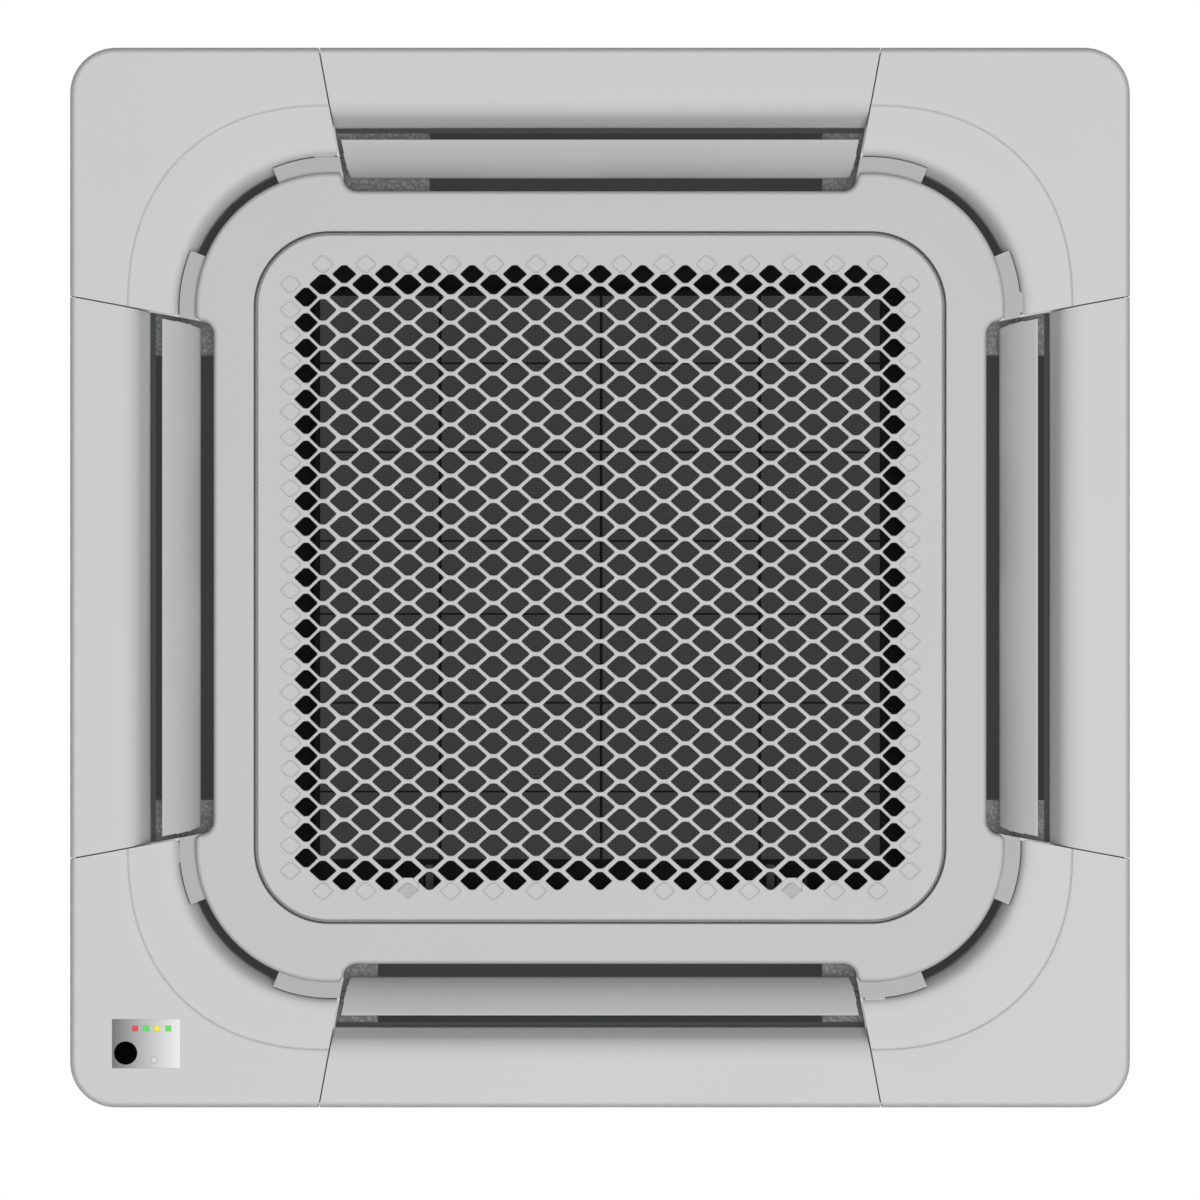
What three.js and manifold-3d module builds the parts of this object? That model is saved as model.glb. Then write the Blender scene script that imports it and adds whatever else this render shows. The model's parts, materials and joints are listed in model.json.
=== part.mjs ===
// Four-way ceiling cassette air conditioner, indoor unit with its decorative panel.
// Millimetres, +Z up. The origin is the middle of the ceiling plane: the panel hangs below z = 0,
// and the unit's casing stands above it in the ceiling void.
// +Y is the latch side (front), -Y the hinge side (rear).
import * as THREE from "three";
import { mergeVertices } from "three/addons/utils/BufferGeometryUtils.js";
import Module from "manifold-3d";

const wasm = await Module();
wasm.setup();

// ---------------------------------------------------------------- driving dimensions

const CLEARANCE = 0.3; // between pieces that touch
const RUNNING = 0.5; // round a piece that turns or slides

// Decorative panel, in plan: each size is built outwards from the door's
const DOOR_HALF = 306; // the intake grille, which opens as a door
const DOOR_RADIUS = 64;
const DOOR_GAP = 3.4;
const DOOR_EDGE = 2; // rounding of the door's edge, which lets it swing clear of the ring
const INTAKE_HALF = DOOR_HALF - 6; // opening of the shelf above the door
const RING_WIDTH = 36.3; // from the gap round the door to an air outlet
const SLOT_INNER = DOOR_HALF + DOOR_GAP + RING_WIDTH; // air outlet, measured outwards from the middle
const SLOT_WIDTH = 58.8;
const SLOT_OUTER = SLOT_INNER + SLOT_WIDTH;
const BORDER_WIDTH = 70.5; // from an outlet to the panel's edge
const PANEL_HALF = SLOT_OUTER + BORDER_WIDTH;
const PANEL_RADIUS = 41;
const EDGE_ROUND = 4;
const SLOT_HALF_AT_EDGE = PANEL_HALF - 223.7; // half length of a side section at the panel's edge
const SLOT_SLANT = 0.185; // how much that half length loses per millimetre inwards
const SLOT_CORNER = 12;
const RING_ARC = 121;
const RING_STEP = 16.3; // how far the ring's corners stand out past the outlets' inner walls
const ARC_CENTRE = SLOT_INNER + RING_STEP - RING_ARC; // of the ring's round corners, along X and along Y
const ARC_SLOT_WIDTH = 10;
const ARC_SLOT_HALF_ANGLE = 22.5; // the corner outlet, either side of the diagonal
const PAD_WIDTH = 14.5;
const CORNER_START = SLOT_INNER - 5.7; // where a corner's outline starts, inwards of the outlets
const CREASE_ARC = 181.6; // style line round each corner, where it crosses the axes of the arc
const CREASE_POWER = 2.32;
const CREASE_RAMP = 11;
const COVE_ARC = 155.6; // where the cover starts to curve up into the corner outlet
const COVE_END = COVE_ARC - 16; // and where it gets steep, along the outlet itself
const CORE = 60; // radius inside all that is cut about the arc's centre
const PARTING = 0.8; // line between a corner cover and its neighbours
const TAB_INSET = 45; // of a cover's two tabs from the panel's edge
const TAB_ASIDE = 175; // and from the corner, along the edge
const TAB_HALF = 4;

// Decorative panel, heights from the ceiling
const FACE_Z = -32;
const CREASE_STEP = 2;
const RING_Z = -38;
const DOOR_Z = -39.5;
const PAD_Z = -26.5;
const PAD_SKIN = 1.5;
const SKIN = 2.5;
const COLLAR_TOP = 14;
const SHELF_Z = -9;
const SHELF_SKIN = 2.5;
const CUT_BELOW = -60; // heights past the panel on both sides, for cuts right through it
const CUT_ABOVE = 60;
const COVER_OPEN = 5; // height past a cover's open back

// Rolled lip of each side section
const ROLL_START = SLOT_OUTER + 27.5;
const ROLL_RADIUS = 23;
const ROLL_ANGLE = 58;

// Louvres
const LOUVER_AXIS_U = SLOT_INNER + 28.3;
const LOUVER_AXIS_Z = -17;
const LOUVER_CHORD = 52;
const LOUVER_TURN = 37; // how much the blade curves from edge to edge, in degrees
const LOUVER_SKIN = 2.6;
const LOUVER_TILT = 50; // how far it stands open, from closed
const LOUVER_GAP_OUTER = 5; // from the outlet's ends, with the blade laid flat
const LOUVER_GAP_INNER = 2.8;
const LOUVER_CORNER = 9;
const RIB_INSET = 6.5; // of the blade's two ribs from the outlet's ends
const RIB_HALF = 1.5;
const RIB_REACH = 8;
const PIN_RADIUS = 3;
const MOTOR_RADIUS = 10;
const MOTOR_LENGTH = 18;
const MOTOR_OFFSET = 4; // of the motor's middle above its shaft
const MOTOR_PLATE = 1.5;

// Intake grille
const MESH_COLUMNS = 5;
const MESH_ROWS = 8;
const MESH_RIM_X = 20.25; // solid border beside the lattice
const MESH_RIM_Y = 54;
const MESH_PITCH_X = (2 * (DOOR_HALF - MESH_RIM_X)) / MESH_COLUMNS;
const MESH_PITCH_Y = (2 * (DOOR_HALF - MESH_RIM_Y)) / MESH_ROWS;
const MESH_STRAND = 7;
const MESH_EDGE = 8; // the least that is left between an opening and the door's edge
const MESH_RADIUS = 93;
const DOOR_SKIN = 2.5;
const DOOR_WALL = 2;
const DOOR_WALL_TOP = -12;
const HINGE_INSET = 1.5;
const HINGE_LIFT = 2.8;
const HINGE_PIN_RADIUS = 0.8;
const HINGE_EYE_RADIUS = 1.7;
const HINGE_FLOOR = 0.8; // the grille's face under an eye
const HINGE_LUG_WIDTH = 10;
const HINGE_BLOCK = 5;
const HINGE_AT = 200; // of each hinge from the middle, along X
const LATCH_AT = 171.5; // of each latch from the middle, along X
const LATCH_Y = DOOR_HALF - 26;
const LATCH_TRAVEL = 6.5;
const LATCH_REACH = 1.5; // of the tongue past the door's edge
const LATCH_HALF = 11;
const LATCH_REAR = LATCH_Y - 18;
const LATCH_FRONT = LATCH_Y + 19;
const LATCH_SKIN = 2;
const LATCH_Z = DOOR_Z + DOOR_SKIN + CLEARANCE;
const TONGUE_HALF = 6;
const GUIDE_RAIL = 2;
const KNOB_WIDTH = 17.5;
const KNOB_LENGTH = 13.5;

// Air filter
const FILTER_HALF_X = DOOR_HALF - 51;
const FILTER_HALF_Y = DOOR_HALF - 49.3;
const FILTER_RIM = 7;
const FILTER_DEPTH = 6;
const FILTER_SHEET = 1;
const FILTER_RIB = 2.4;
const FILTER_COLUMNS = 4;
const FILTER_ROWS = 7;

// Display in the front left corner cover
const DISPLAY_X = -PANEL_HALF + 69;
const DISPLAY_Y = PANEL_HALF - 58;
const DISPLAY_WIDTH = 61;
const DISPLAY_HEIGHT = 44;
const DISPLAY_SKIN = 1.2;
const DISPLAY_SEAT = 1.2; // of the cover behind the window
const BOARD_Z = -22;
const BOARD_SKIN = 1.6;
const RECEIVER_X = DISPLAY_X - 18.4;
const RECEIVER_Y = DISPLAY_Y + 8.4;
const RECEIVER_RADIUS = 10.2;
const RECEIVER_NECK = 6;
const LIGHT_X = DISPLAY_X - 9.8; // of the first of the row
const LIGHT_Y = DISPLAY_Y - 13.6;
const LIGHT_PITCH = 9.9;
const LIGHT_COUNT = 4;
const LIGHT_SIZE = 5;
const BUTTON_X = DISPLAY_X + 7.3;
const BUTTON_Y = DISPLAY_Y + 14.7;
const BUTTON_RADIUS = 3;
const BUTTON_FLANGE = 1.5;
const BUTTON_TRAVEL = 0.8;

// Casing in the ceiling void
const BODY_HALF = PANEL_HALF - 55;
const BODY_CHAMFER = 140;
const BODY_BOTTOM = 18;
const BODY_HEIGHT = 245;
const BODY_TOP = BODY_BOTTOM + BODY_HEIGHT;
const SHEET = 1.5;
const FLANGE = 15;
const FOAM = 17.5;
const FOAM_TOP = 14;
const SEAL_HALF = BODY_HALF + 4;
const WALL_REACH = 25; // how far a cut through the casing's wall and insulation goes in
const DISH_RADIUS = 112; // the ring pressed into the top, which the motor's mount is screwed to
const DISH_WIDTH = 12;
const DISH_DEPTH = 4;

// Hangers, on the usual 780 by 680 pitch for M10 rods
const HANGER_X = BODY_HALF - 30;
const HANGER_Y = BODY_HALF - 80;
const HANGER_Z = 150;
const HANGER_SLOT = 12.5;
const HANGER_SHEET = 3;
const HANGER_REACH = 60; // of the bracket's plate along its chamfer

// Fan, motor and air inlet
const FAN_RADIUS = 230;
const FAN_TOP = 216;
const FAN_BLADES = 7;
const FAN_EYE = 163;
const FAN_SKIN = 3;
const FAN_BOSS = 128;
const FAN_HUB_Z = 150;
const THROAT = 156;
const BELL_RADIUS = 188;
const BELL_CORNER = 80;
const BELL_TOP = 70;
const MOTOR_CAN = 66;
const MOTOR_BOTTOM = 172;
const MOTOR_TOP = 241;
const MOTOR_SHOULDER = 4;
const MOUNT_RADIUS = 82;
const MOUNT_SHEET = 3;
const LEG_HALF = 12;
const SHAFT_RADIUS = 6;
const SHAFT_BOTTOM = 112;

// Coil and drain pan
const COIL_OUTER = SLOT_INNER - 10.7;
const COIL_INNER = COIL_OUTER - 38;
const COIL_CORNER = 75;
const COIL_TOP = 243;
const COIL_END = COIL_INNER - 92; // where both of its ends stand, from the middle, towards the pipes' corner
const PAN_TOP = 58;
const TROUGH_Z = 34;
const PAN_OPENING = COIL_INNER - 12;
const PAN_CORNER = 60;
const PAN_WALL = 6.5;
const PAN_DUCT = SLOT_HALF_AT_EDGE - 50.6; // half length of each duct through the pan
const PAN_DUCT_SHORT = PAN_DUCT - 46.7; // where the rear duct stops, towards the pipes' corner
const BELL_HALF = PAN_OPENING + 11;
const BEND_RADIUS = 10.5;
const BEND_PITCH = 31;
const TUBE = 3.5;
const BENDS = 6;
const FEEDER_PITCH = 32;
const GAS_RADIUS = 7.94;
const GAS_X = -COIL_OUTER + 8;
const GAS_Y = -COIL_END - 17;
const GAS_Z = 98;
const LIQUID_RADIUS = 4.76;
const LIQUID_X = -COIL_INNER - 9.5;
const LIQUID_Y = -COIL_END - 31;
const LIQUID_Z = 150;
const LIQUID_TUBE = 2.2;
const PIPE_END = -BODY_HALF - 27;
const DRAIN_RADIUS = 16;
const DRAIN_BORE = 12.5;
const DRAIN_Y = -COIL_INNER + 41;
const DRAIN_Z = 208;
const PUMP_AT = -COIL_INNER;
const PUMP_RADIUS = 26;
const SUMP_Z = 26;
const IMPELLER_RADIUS = 13.5;
const IMPELLER_Z = 40;
const IMPELLER_HEIGHT = 10;
const PLUG_AT = PUMP_AT + 16;
const PLUG_RADIUS = 7;
const FLOAT_X = -COIL_INNER - 21;
const FLOAT_Y = -COIL_INNER + 35;
const FLOAT_RADIUS = 8;
const FLOAT_STEM = 2.5;
const FLOAT_Z = 43;
const FLOAT_HEIGHT = 15;
const FLOAT_TRAVEL = 20;

// Gland for the mains cable, in the casing's left wall
const GLAND_Y = -170;
const GLAND_Z = 222;
const GLAND_RADIUS = 9;
const GLAND_BORE = 4.2;
const GLAND_NUT = 12.5;

// Control box, beside the air inlet
const BOX_HALF = 150;
const BOX_FRONT = PAN_OPENING - 3;
const BOX_REAR = BOX_FRONT - 74;
const BOX_TOP = 62;
const BOX_BOTTOM = 11.5;
const BOX_SHEET = 1.2;
const BOX_FLANGE = 7;
const BOX_BOARD_Z = 40;

// ---------------------------------------------------------------- solids

const radians = THREE.MathUtils.degToRad;

function toSolid(geometry) {
  const bare = new THREE.BufferGeometry().setAttribute("position", geometry.getAttribute("position"));
  bare.setIndex(geometry.index);
  const merged = mergeVertices(bare, 1e-4);
  return new wasm.Manifold(
    new wasm.Mesh({
      numProp: 3,
      vertProperties: merged.getAttribute("position").array,
      triVerts: new Uint32Array(merged.index.array),
    }),
  );
}

function toGeometry(solid) {
  const mesh = solid.getMesh();
  return new THREE.BufferGeometry()
    .setAttribute("position", new THREE.BufferAttribute(mesh.vertProperties, 3))
    .setIndex(new THREE.BufferAttribute(mesh.triVerts, 1));
}

const join = (...geometries) => toGeometry(geometries.map(toSolid).reduce((a, b) => a.add(b)));
const cut = (geometry, ...tools) =>
  toGeometry(tools.map(toSolid).reduce((a, b) => a.subtract(b), toSolid(geometry)));
const common = (a, b) => toGeometry(toSolid(a).intersect(toSolid(b)));
const rotated = (geometry, degrees) => geometry.clone().rotateZ(radians(degrees));

// An upright prism over an outline of [x, y] points.
function prism(outline, bottom, top, holes = []) {
  const shape = new THREE.Shape(outline.map(([x, y]) => new THREE.Vector2(x, y)));
  shape.holes = holes.map((hole) => new THREE.Path(hole.map(([x, y]) => new THREE.Vector2(x, y))));
  const upright = new THREE.ExtrudeGeometry(shape, { depth: top - bottom, bevelEnabled: false });
  return upright.translate(0, 0, bottom);
}

// A prism along X over an outline of [y, z] points.
function beam(outline, from, to) {
  const shape = new THREE.Shape(outline.map(([y, z]) => new THREE.Vector2(y, z)));
  const along = new THREE.Matrix4().set(0, 0, 1, from, 1, 0, 0, 0, 0, 1, 0, 0, 0, 0, 0, 1);
  return new THREE.ExtrudeGeometry(shape, { depth: to - from, bevelEnabled: false }).applyMatrix4(along);
}

// A solid through a stack of outlines, each with the same number of points, from the bottom up.
// Each layer is { outline, z }.
function loft(layers) {
  const count = layers[0].outline.length;
  const positions = layers.flatMap(({ outline, z }) => outline.flatMap(([x, y]) => [x, y, z]));
  const floor = layers[0].outline.map(([x, y]) => new THREE.Vector2(x, y));
  const faces = THREE.ShapeUtils.triangulateShape(floor, []);
  const last = count * (layers.length - 1);
  const bottom = faces.flatMap(([a, b, c]) => [a, c, b]);
  const top = faces.flatMap(([a, b, c]) => [a + last, b + last, c + last]);
  const sides = layers.slice(1).flatMap((_, level) =>
    Array.from({ length: count }, (_, i) => {
      const a = level * count + i;
      const b = level * count + ((i + 1) % count);
      return [a, b, b + count, a, b + count, a + count];
    }).flat(),
  );
  return new THREE.BufferGeometry()
    .setAttribute("position", new THREE.Float32BufferAttribute(positions, 3))
    .setIndex([...bottom, ...sides, ...top]);
}

function box(x0, x1, y0, y1, z0, z1) {
  const middle = [(x0 + x1) / 2, (y0 + y1) / 2, (z0 + z1) / 2];
  return new THREE.BoxGeometry(x1 - x0, y1 - y0, z1 - z0).translate(...middle);
}

function post(radius, bottom, top, x = 0, y = 0, sides = 16) {
  return new THREE.CylinderGeometry(radius, radius, top - bottom, sides)
    .rotateX(Math.PI / 2)
    .translate(x, y, (bottom + top) / 2);
}

// A rod along X.
function rod(radius, from, to, y, z, sides = 12) {
  return new THREE.CylinderGeometry(radius, radius, to - from, sides)
    .rotateZ(Math.PI / 2)
    .translate((from + to) / 2, y, z);
}

// A rod along Y.
const barAlongY = (radius, from, to, x, z, sides = 8) =>
  new THREE.CylinderGeometry(radius, radius, to - from, sides).translate(x, (from + to) / 2, z);

// A body of revolution about Z, from a closed profile of [radius, z] points.
function lathe(profile, segments) {
  const area = profile.reduce((sum, [r, z], i) => {
    const [nextR, nextZ] = profile[(i + 1) % profile.length];
    return sum + r * nextZ - nextR * z;
  }, 0);
  const ordered = area > 0 ? profile : [...profile].reverse();
  const points = [...ordered, ordered[0]].map(([r, z]) => new THREE.Vector2(r, z));
  return new THREE.LatheGeometry(points, segments).rotateX(Math.PI / 2);
}

// A round bar along a smooth curve through points.
function bar(radius, points, steps, sides = 8) {
  const curve = new THREE.CatmullRomCurve3(points.map((p) => new THREE.Vector3(...p)), false, "centripetal");
  const section = Array.from({ length: sides }, (_, i) => {
    const a = (2 * Math.PI * i) / sides;
    return new THREE.Vector2(radius * Math.cos(a), radius * Math.sin(a));
  });
  const along = { steps, bevelEnabled: false, extrudePath: curve };
  return new THREE.ExtrudeGeometry(new THREE.Shape(section), along);
}

// ---------------------------------------------------------------- outlines

// Points of an arc about (x, y), angles in degrees.
function arc(x, y, radius, from, to, steps) {
  return Array.from({ length: steps + 1 }, (_, i) => {
    const a = radians(from + ((to - from) * i) / steps);
    return [x + radius * Math.cos(a), y + radius * Math.sin(a)];
  });
}

function roundedSquare(half, radius, steps = 5) {
  const c = half - radius;
  return [
    ...arc(c, c, radius, 0, 90, steps),
    ...arc(-c, c, radius, 90, 180, steps),
    ...arc(-c, -c, radius, 180, 270, steps),
    ...arc(c, -c, radius, 270, 360, steps),
  ];
}

// The casing's octagon, with all eight sides moved inwards.
function octagon(inset, half = BODY_HALF) {
  const outer = half - inset;
  const c = half - BODY_CHAMFER + inset * (1 - Math.SQRT2);
  const side = [[outer, -c], [outer, c]];
  return QUARTERS.flatMap((turn) => turned(side, turn));
}

function turned(outline, degrees) {
  const c = Math.cos(radians(degrees));
  const s = Math.sin(radians(degrees));
  return outline.map(([x, y]) => [x * c - y * s, x * s + y * c]);
}

// A line and its copy moved to its left, as one closed outline.
function ribbon(line, thickness) {
  const side = line.map((p, i) => {
    const before = line[Math.max(i - 1, 0)];
    const after = line[Math.min(i + 1, line.length - 1)];
    const length = Math.hypot(after[0] - before[0], after[1] - before[1]);
    return [
      p[0] - ((after[1] - before[1]) * thickness) / length,
      p[1] + ((after[0] - before[0]) * thickness) / length,
    ];
  });
  return [...line, ...side.reverse()];
}

const SIDES = { front: 0, left: 90, rear: 180, right: 270 };
const CORNERS = { front_right: 0, front_left: 90, rear_left: 180, rear_right: 270 };
const QUARTERS = [0, 90, 180, 270];

// Half length of the front side section at y, less a margin.
const sideHalf = (y, margin = 0) => SLOT_HALF_AT_EDGE - (PANEL_HALF - y) * SLOT_SLANT - margin;

// Outline of the front side section between two distances from the middle.
function wedge(inner, outer, margin = 0) {
  return [
    [-sideHalf(inner, margin), inner],
    [sideHalf(inner, margin), inner],
    [sideHalf(outer, margin), outer],
    [-sideHalf(outer, margin), outer],
  ];
}

// The front outlet's outline, with its two inner corners rounded.
function slotOutline(margin = 0) {
  const half = sideHalf(SLOT_INNER + SLOT_CORNER, margin);
  const r = SLOT_CORNER - margin;
  const inner = SLOT_INNER + margin;
  return [
    ...arc(-half + r, inner + r, r, 180, 270, 3),
    ...arc(half - r, inner + r, r, 270, 360, 3),
    [sideHalf(SLOT_OUTER, margin), SLOT_OUTER - margin],
    [-sideHalf(SLOT_OUTER, margin), SLOT_OUTER - margin],
  ];
}

// A sector of a ring about the front right arc's centre.
function sector(inner, outer, from, to, steps = 4) {
  return [
    ...arc(ARC_CENTRE, ARC_CENTRE, outer, from, to, steps),
    ...arc(ARC_CENTRE, ARC_CENTRE, inner, to, from, steps),
  ];
}

// The front right corner outlet.
const arcSlot = (margin = 0) =>
  sector(
    RING_ARC + margin,
    RING_ARC + ARC_SLOT_WIDTH - margin,
    45 - ARC_SLOT_HALF_ANGLE,
    45 + ARC_SLOT_HALF_ANGLE,
  );

// The front right corner between two side sections: a gap from them, an inset from the panel's edge.
function cornerOutline(gap, inset) {
  const c = PANEL_HALF - PANEL_RADIUS;
  return [
    [sideHalf(CORNER_START, -gap), CORNER_START],
    [ARC_CENTRE, ARC_CENTRE],
    [CORNER_START, sideHalf(CORNER_START, -gap)],
    [PANEL_HALF - inset, sideHalf(PANEL_HALF, -gap)],
    ...arc(c, c, PANEL_RADIUS - inset, 0, 90, 6),
    [sideHalf(PANEL_HALF, -gap), PANEL_HALF - inset],
  ];
}

// A cut over an outline, right through the panel.
const through = (outline) => prism(outline, CUT_BELOW, CUT_ABOVE);

// ---------------------------------------------------------------- decorative panel

// The room side of a side section, as [y, z] points from the outlet out to the panel's edge.
function lipLine() {
  const edge = arc(PANEL_HALF - EDGE_ROUND, FACE_Z + EDGE_ROUND, EDGE_ROUND, 270, 360, 2);
  const roll = arc(ROLL_START, FACE_Z + ROLL_RADIUS, ROLL_RADIUS, 270 - ROLL_ANGLE, 270, 4);
  return [[SLOT_OUTER, -SKIN], ...roll, ...edge, [PANEL_HALF, 0]];
}

// One side section: a shell with the rolled lip, closed at its slanted ends and open at its back.
function sideSection() {
  const line = lipLine();
  const inner = ribbon(line, SKIN).slice(line.length).reverse();
  const whole = beam([...line, [SLOT_OUTER, 0]], -PANEL_HALF, PANEL_HALF);
  const open = [[PANEL_HALF - SKIN, CUT_ABOVE], [SLOT_OUTER + SKIN, CUT_ABOVE]];
  const hollow = beam([...inner, ...open], -PANEL_HALF, PANEL_HALF);
  const plan = (margin) => through(wedge(SLOT_OUTER - SKIN, PANEL_HALF + SKIN, margin));
  return cut(common(whole, plan(0)), common(hollow, plan(SKIN)));
}

// The walls round the front outlet, with the bearings of the louvre in its ends.
function outletWalls() {
  const low = prism(slotOutline(-SKIN), PAD_Z, 0.5, [slotOutline()]);
  const reach = SLOT_HALF_AT_EDGE + 10;
  const padEdge = ARC_CENTRE + RING_ARC + PAD_WIDTH - 0.5;
  const collar = prism(slotOutline(-SKIN), -SKIN, COLLAR_TOP, [slotOutline()]);
  const behindLip = box(-reach, reach, SLOT_OUTER - 2, SLOT_OUTER + 5, CUT_BELOW, CUT_ABOVE);
  const besideCovers = box(-reach, reach, padEdge, SLOT_OUTER, CUT_BELOW, PAD_Z + SKIN + CLEARANCE);
  const bearing = rod(PIN_RADIUS + RUNNING, -reach, reach, LOUVER_AXIS_U, LOUVER_AXIS_Z);
  return join(cut(low, behindLip, besideCovers, bearing), collar);
}

// The ring between the grille and the outlets: a channel open at its back, with the shelf over the door.
function ring() {
  const half = ARC_CENTRE + RING_ARC;
  const mouth = DOOR_HALF + DOOR_GAP;
  const mouthRadius = DOOR_RADIUS + DOOR_GAP;
  const body = prism(roundedSquare(half, RING_ARC, 8), RING_Z, 0);
  const shelf = prism(roundedSquare(mouth + 1, mouthRadius + 1), SHELF_Z, SHELF_Z + SHELF_SKIN, [
    roundedSquare(INTAKE_HALF, INTAKE_HALF - mouth + mouthRadius),
  ]);
  const channel = prism(roundedSquare(half - SKIN, RING_ARC - SKIN, 8), RING_Z + SKIN, 1, [
    roundedSquare(mouth + SKIN, mouthRadius + SKIN),
  ]);
  const islands = QUARTERS.map((turn) => rotated(prism(slotOutline(-SKIN), RING_Z - 1, 2), turn));
  const collar = prism(roundedSquare(mouth + SKIN, mouthRadius + SKIN), -1, COLLAR_TOP, [
    roundedSquare(mouth, mouthRadius),
  ]);
  return join(
    cut(body, prism(roundedSquare(mouth, mouthRadius), RING_Z - 1, 1), cut(channel, ...islands)),
    shelf,
    collar,
  );
}

// The floor over the front right corner cover, with the corner outlet's walls and the pads beside it.
function cornerFloor() {
  const rim = SKIN + 2 * CLEARANCE;
  const floor = prism(cornerOutline(-0.5, rim), -SKIN, 0);
  const from = 45 - ARC_SLOT_HALF_ANGLE;
  const wellOuter = RING_ARC + ARC_SLOT_WIDTH + SKIN;
  const well = prism(sector(RING_ARC - 1, wellOuter, from - 2, 92 - from), -1, COLLAR_TOP);
  const region = through(cornerOutline(-0.5, rim));
  const pad = (a, b, low, high) =>
    common(prism(sector(RING_ARC - 1, RING_ARC + PAD_WIDTH, a, b, 2), low, high), region);
  const pads = [
    pad(-10, from, PAD_Z, PAD_Z + PAD_SKIN),
    pad(90 - from, 100, PAD_Z, PAD_Z + PAD_SKIN),
    pad(from - PAD_SKIN, from, PAD_Z, -1),
    pad(90 - from, 90 - from + PAD_SKIN, PAD_Z, -1),
  ];
  const core = post(RING_ARC - 0.5, CUT_BELOW, CUT_ABOVE, ARC_CENTRE, ARC_CENTRE, 48);
  return cut(join(cut(floor, core), well, ...pads), through(arcSlot()));
}

// A lug that hangs from the shelf, with the eye of one of the grille's hinges.
function hingeLug(x) {
  const y = -DOOR_HALF + HINGE_INSET;
  const z = DOOR_Z + HINGE_LIFT;
  const half = HINGE_LUG_WIDTH / 2;
  const r = HINGE_EYE_RADIUS;
  const eye = rod(r, x - half, x + half, y, z, 16);
  const stem = box(x - half, x + half, y - r, y + r, z, SHELF_Z + 1);
  return cut(join(eye, stem), rod(HINGE_PIN_RADIUS + CLEARANCE, x - 10, x + 10, y, z, 16));
}

function panelFrame() {
  const quarter = join(sideSection(), outletWalls(), cornerFloor());
  const whole = join(
    ring(),
    ...QUARTERS.map((turn) => rotated(quarter, turn)),
    hingeLug(-HINGE_AT),
    hingeLug(HINGE_AT),
  );
  return cut(whole, ...QUARTERS.map((turn) => rotated(through(slotOutline()), turn)));
}

// The edge of the panel, as layers of one corner's outline from the face up.
function cornerLayers(top) {
  const steps = [270, 315, 360].map((degrees) => ({
    inset: EDGE_ROUND * (1 - Math.cos(radians(degrees))),
    z: FACE_Z + EDGE_ROUND * (1 + Math.sin(radians(degrees))),
  }));
  const levels = [...steps, { inset: 0, z: top }];
  return levels.map(({ inset, z }) => ({ outline: cornerOutline(PARTING, inset), z }));
}

// The style line: a rounded corner about the arc's centre, widened by a ramp.
function creaseOutline(widening) {
  const line = Array.from({ length: 13 }, (_, i) => {
    const a = radians(-12 + (114 * i) / 12);
    const bulge = Math.abs(Math.cos(a)) ** CREASE_POWER + Math.abs(Math.sin(a)) ** CREASE_POWER;
    const r = CREASE_ARC / bulge ** (1 / CREASE_POWER) + widening;
    return [ARC_CENTRE + r * Math.cos(a), ARC_CENTRE + r * Math.sin(a)];
  });
  return [...line, [ARC_CENTRE - 20, ARC_CENTRE - 20]];
}

// The curve from a cover's face towards the corner outlet, as [radius, z] points round the arc's centre.
function coveFace(offset) {
  const base = FACE_Z + CREASE_STEP + offset;
  return [
    [COVE_ARC + offset, base],
    [COVE_ARC - 8 + offset, base + 1],
    [COVE_END + offset, PAD_Z + offset],
  ];
}

// The steeper curve that follows it along the corner outlet itself.
function coveThroat(offset) {
  return [
    [COVE_END + offset, PAD_Z + offset],
    [COVE_END - 4.5 + offset, PAD_Z + 5.5 + offset],
    [RING_ARC + ARC_SLOT_WIDTH + offset, PAD_Z + 16.5],
    [RING_ARC + ARC_SLOT_WIDTH + offset, COVER_OPEN],
  ];
}

const aboutArc = (profile) => lathe(profile, 48).translate(ARC_CENTRE, ARC_CENTRE, 0);

// The space along the corner outlet, out to its outer wall.
function throat(offset, spread) {
  const from = 45 - ARC_SLOT_HALF_ANGLE - spread;
  return common(
    aboutArc([[CORE, CUT_BELOW], [COVE_END + offset, CUT_BELOW], ...coveThroat(offset), [CORE, COVER_OPEN]]),
    prism(sector(CORE - 10, COVE_ARC + 5, from, 90 - from), CUT_BELOW + 1, COVER_OPEN - 1),
  );
}

function coverTab(x, y) {
  const bottom = FACE_Z + CREASE_STEP + 1;
  return box(x - TAB_HALF, x + TAB_HALF, y - TAB_HALF, y + TAB_HALF, bottom, -SKIN - CLEARANCE);
}

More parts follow.
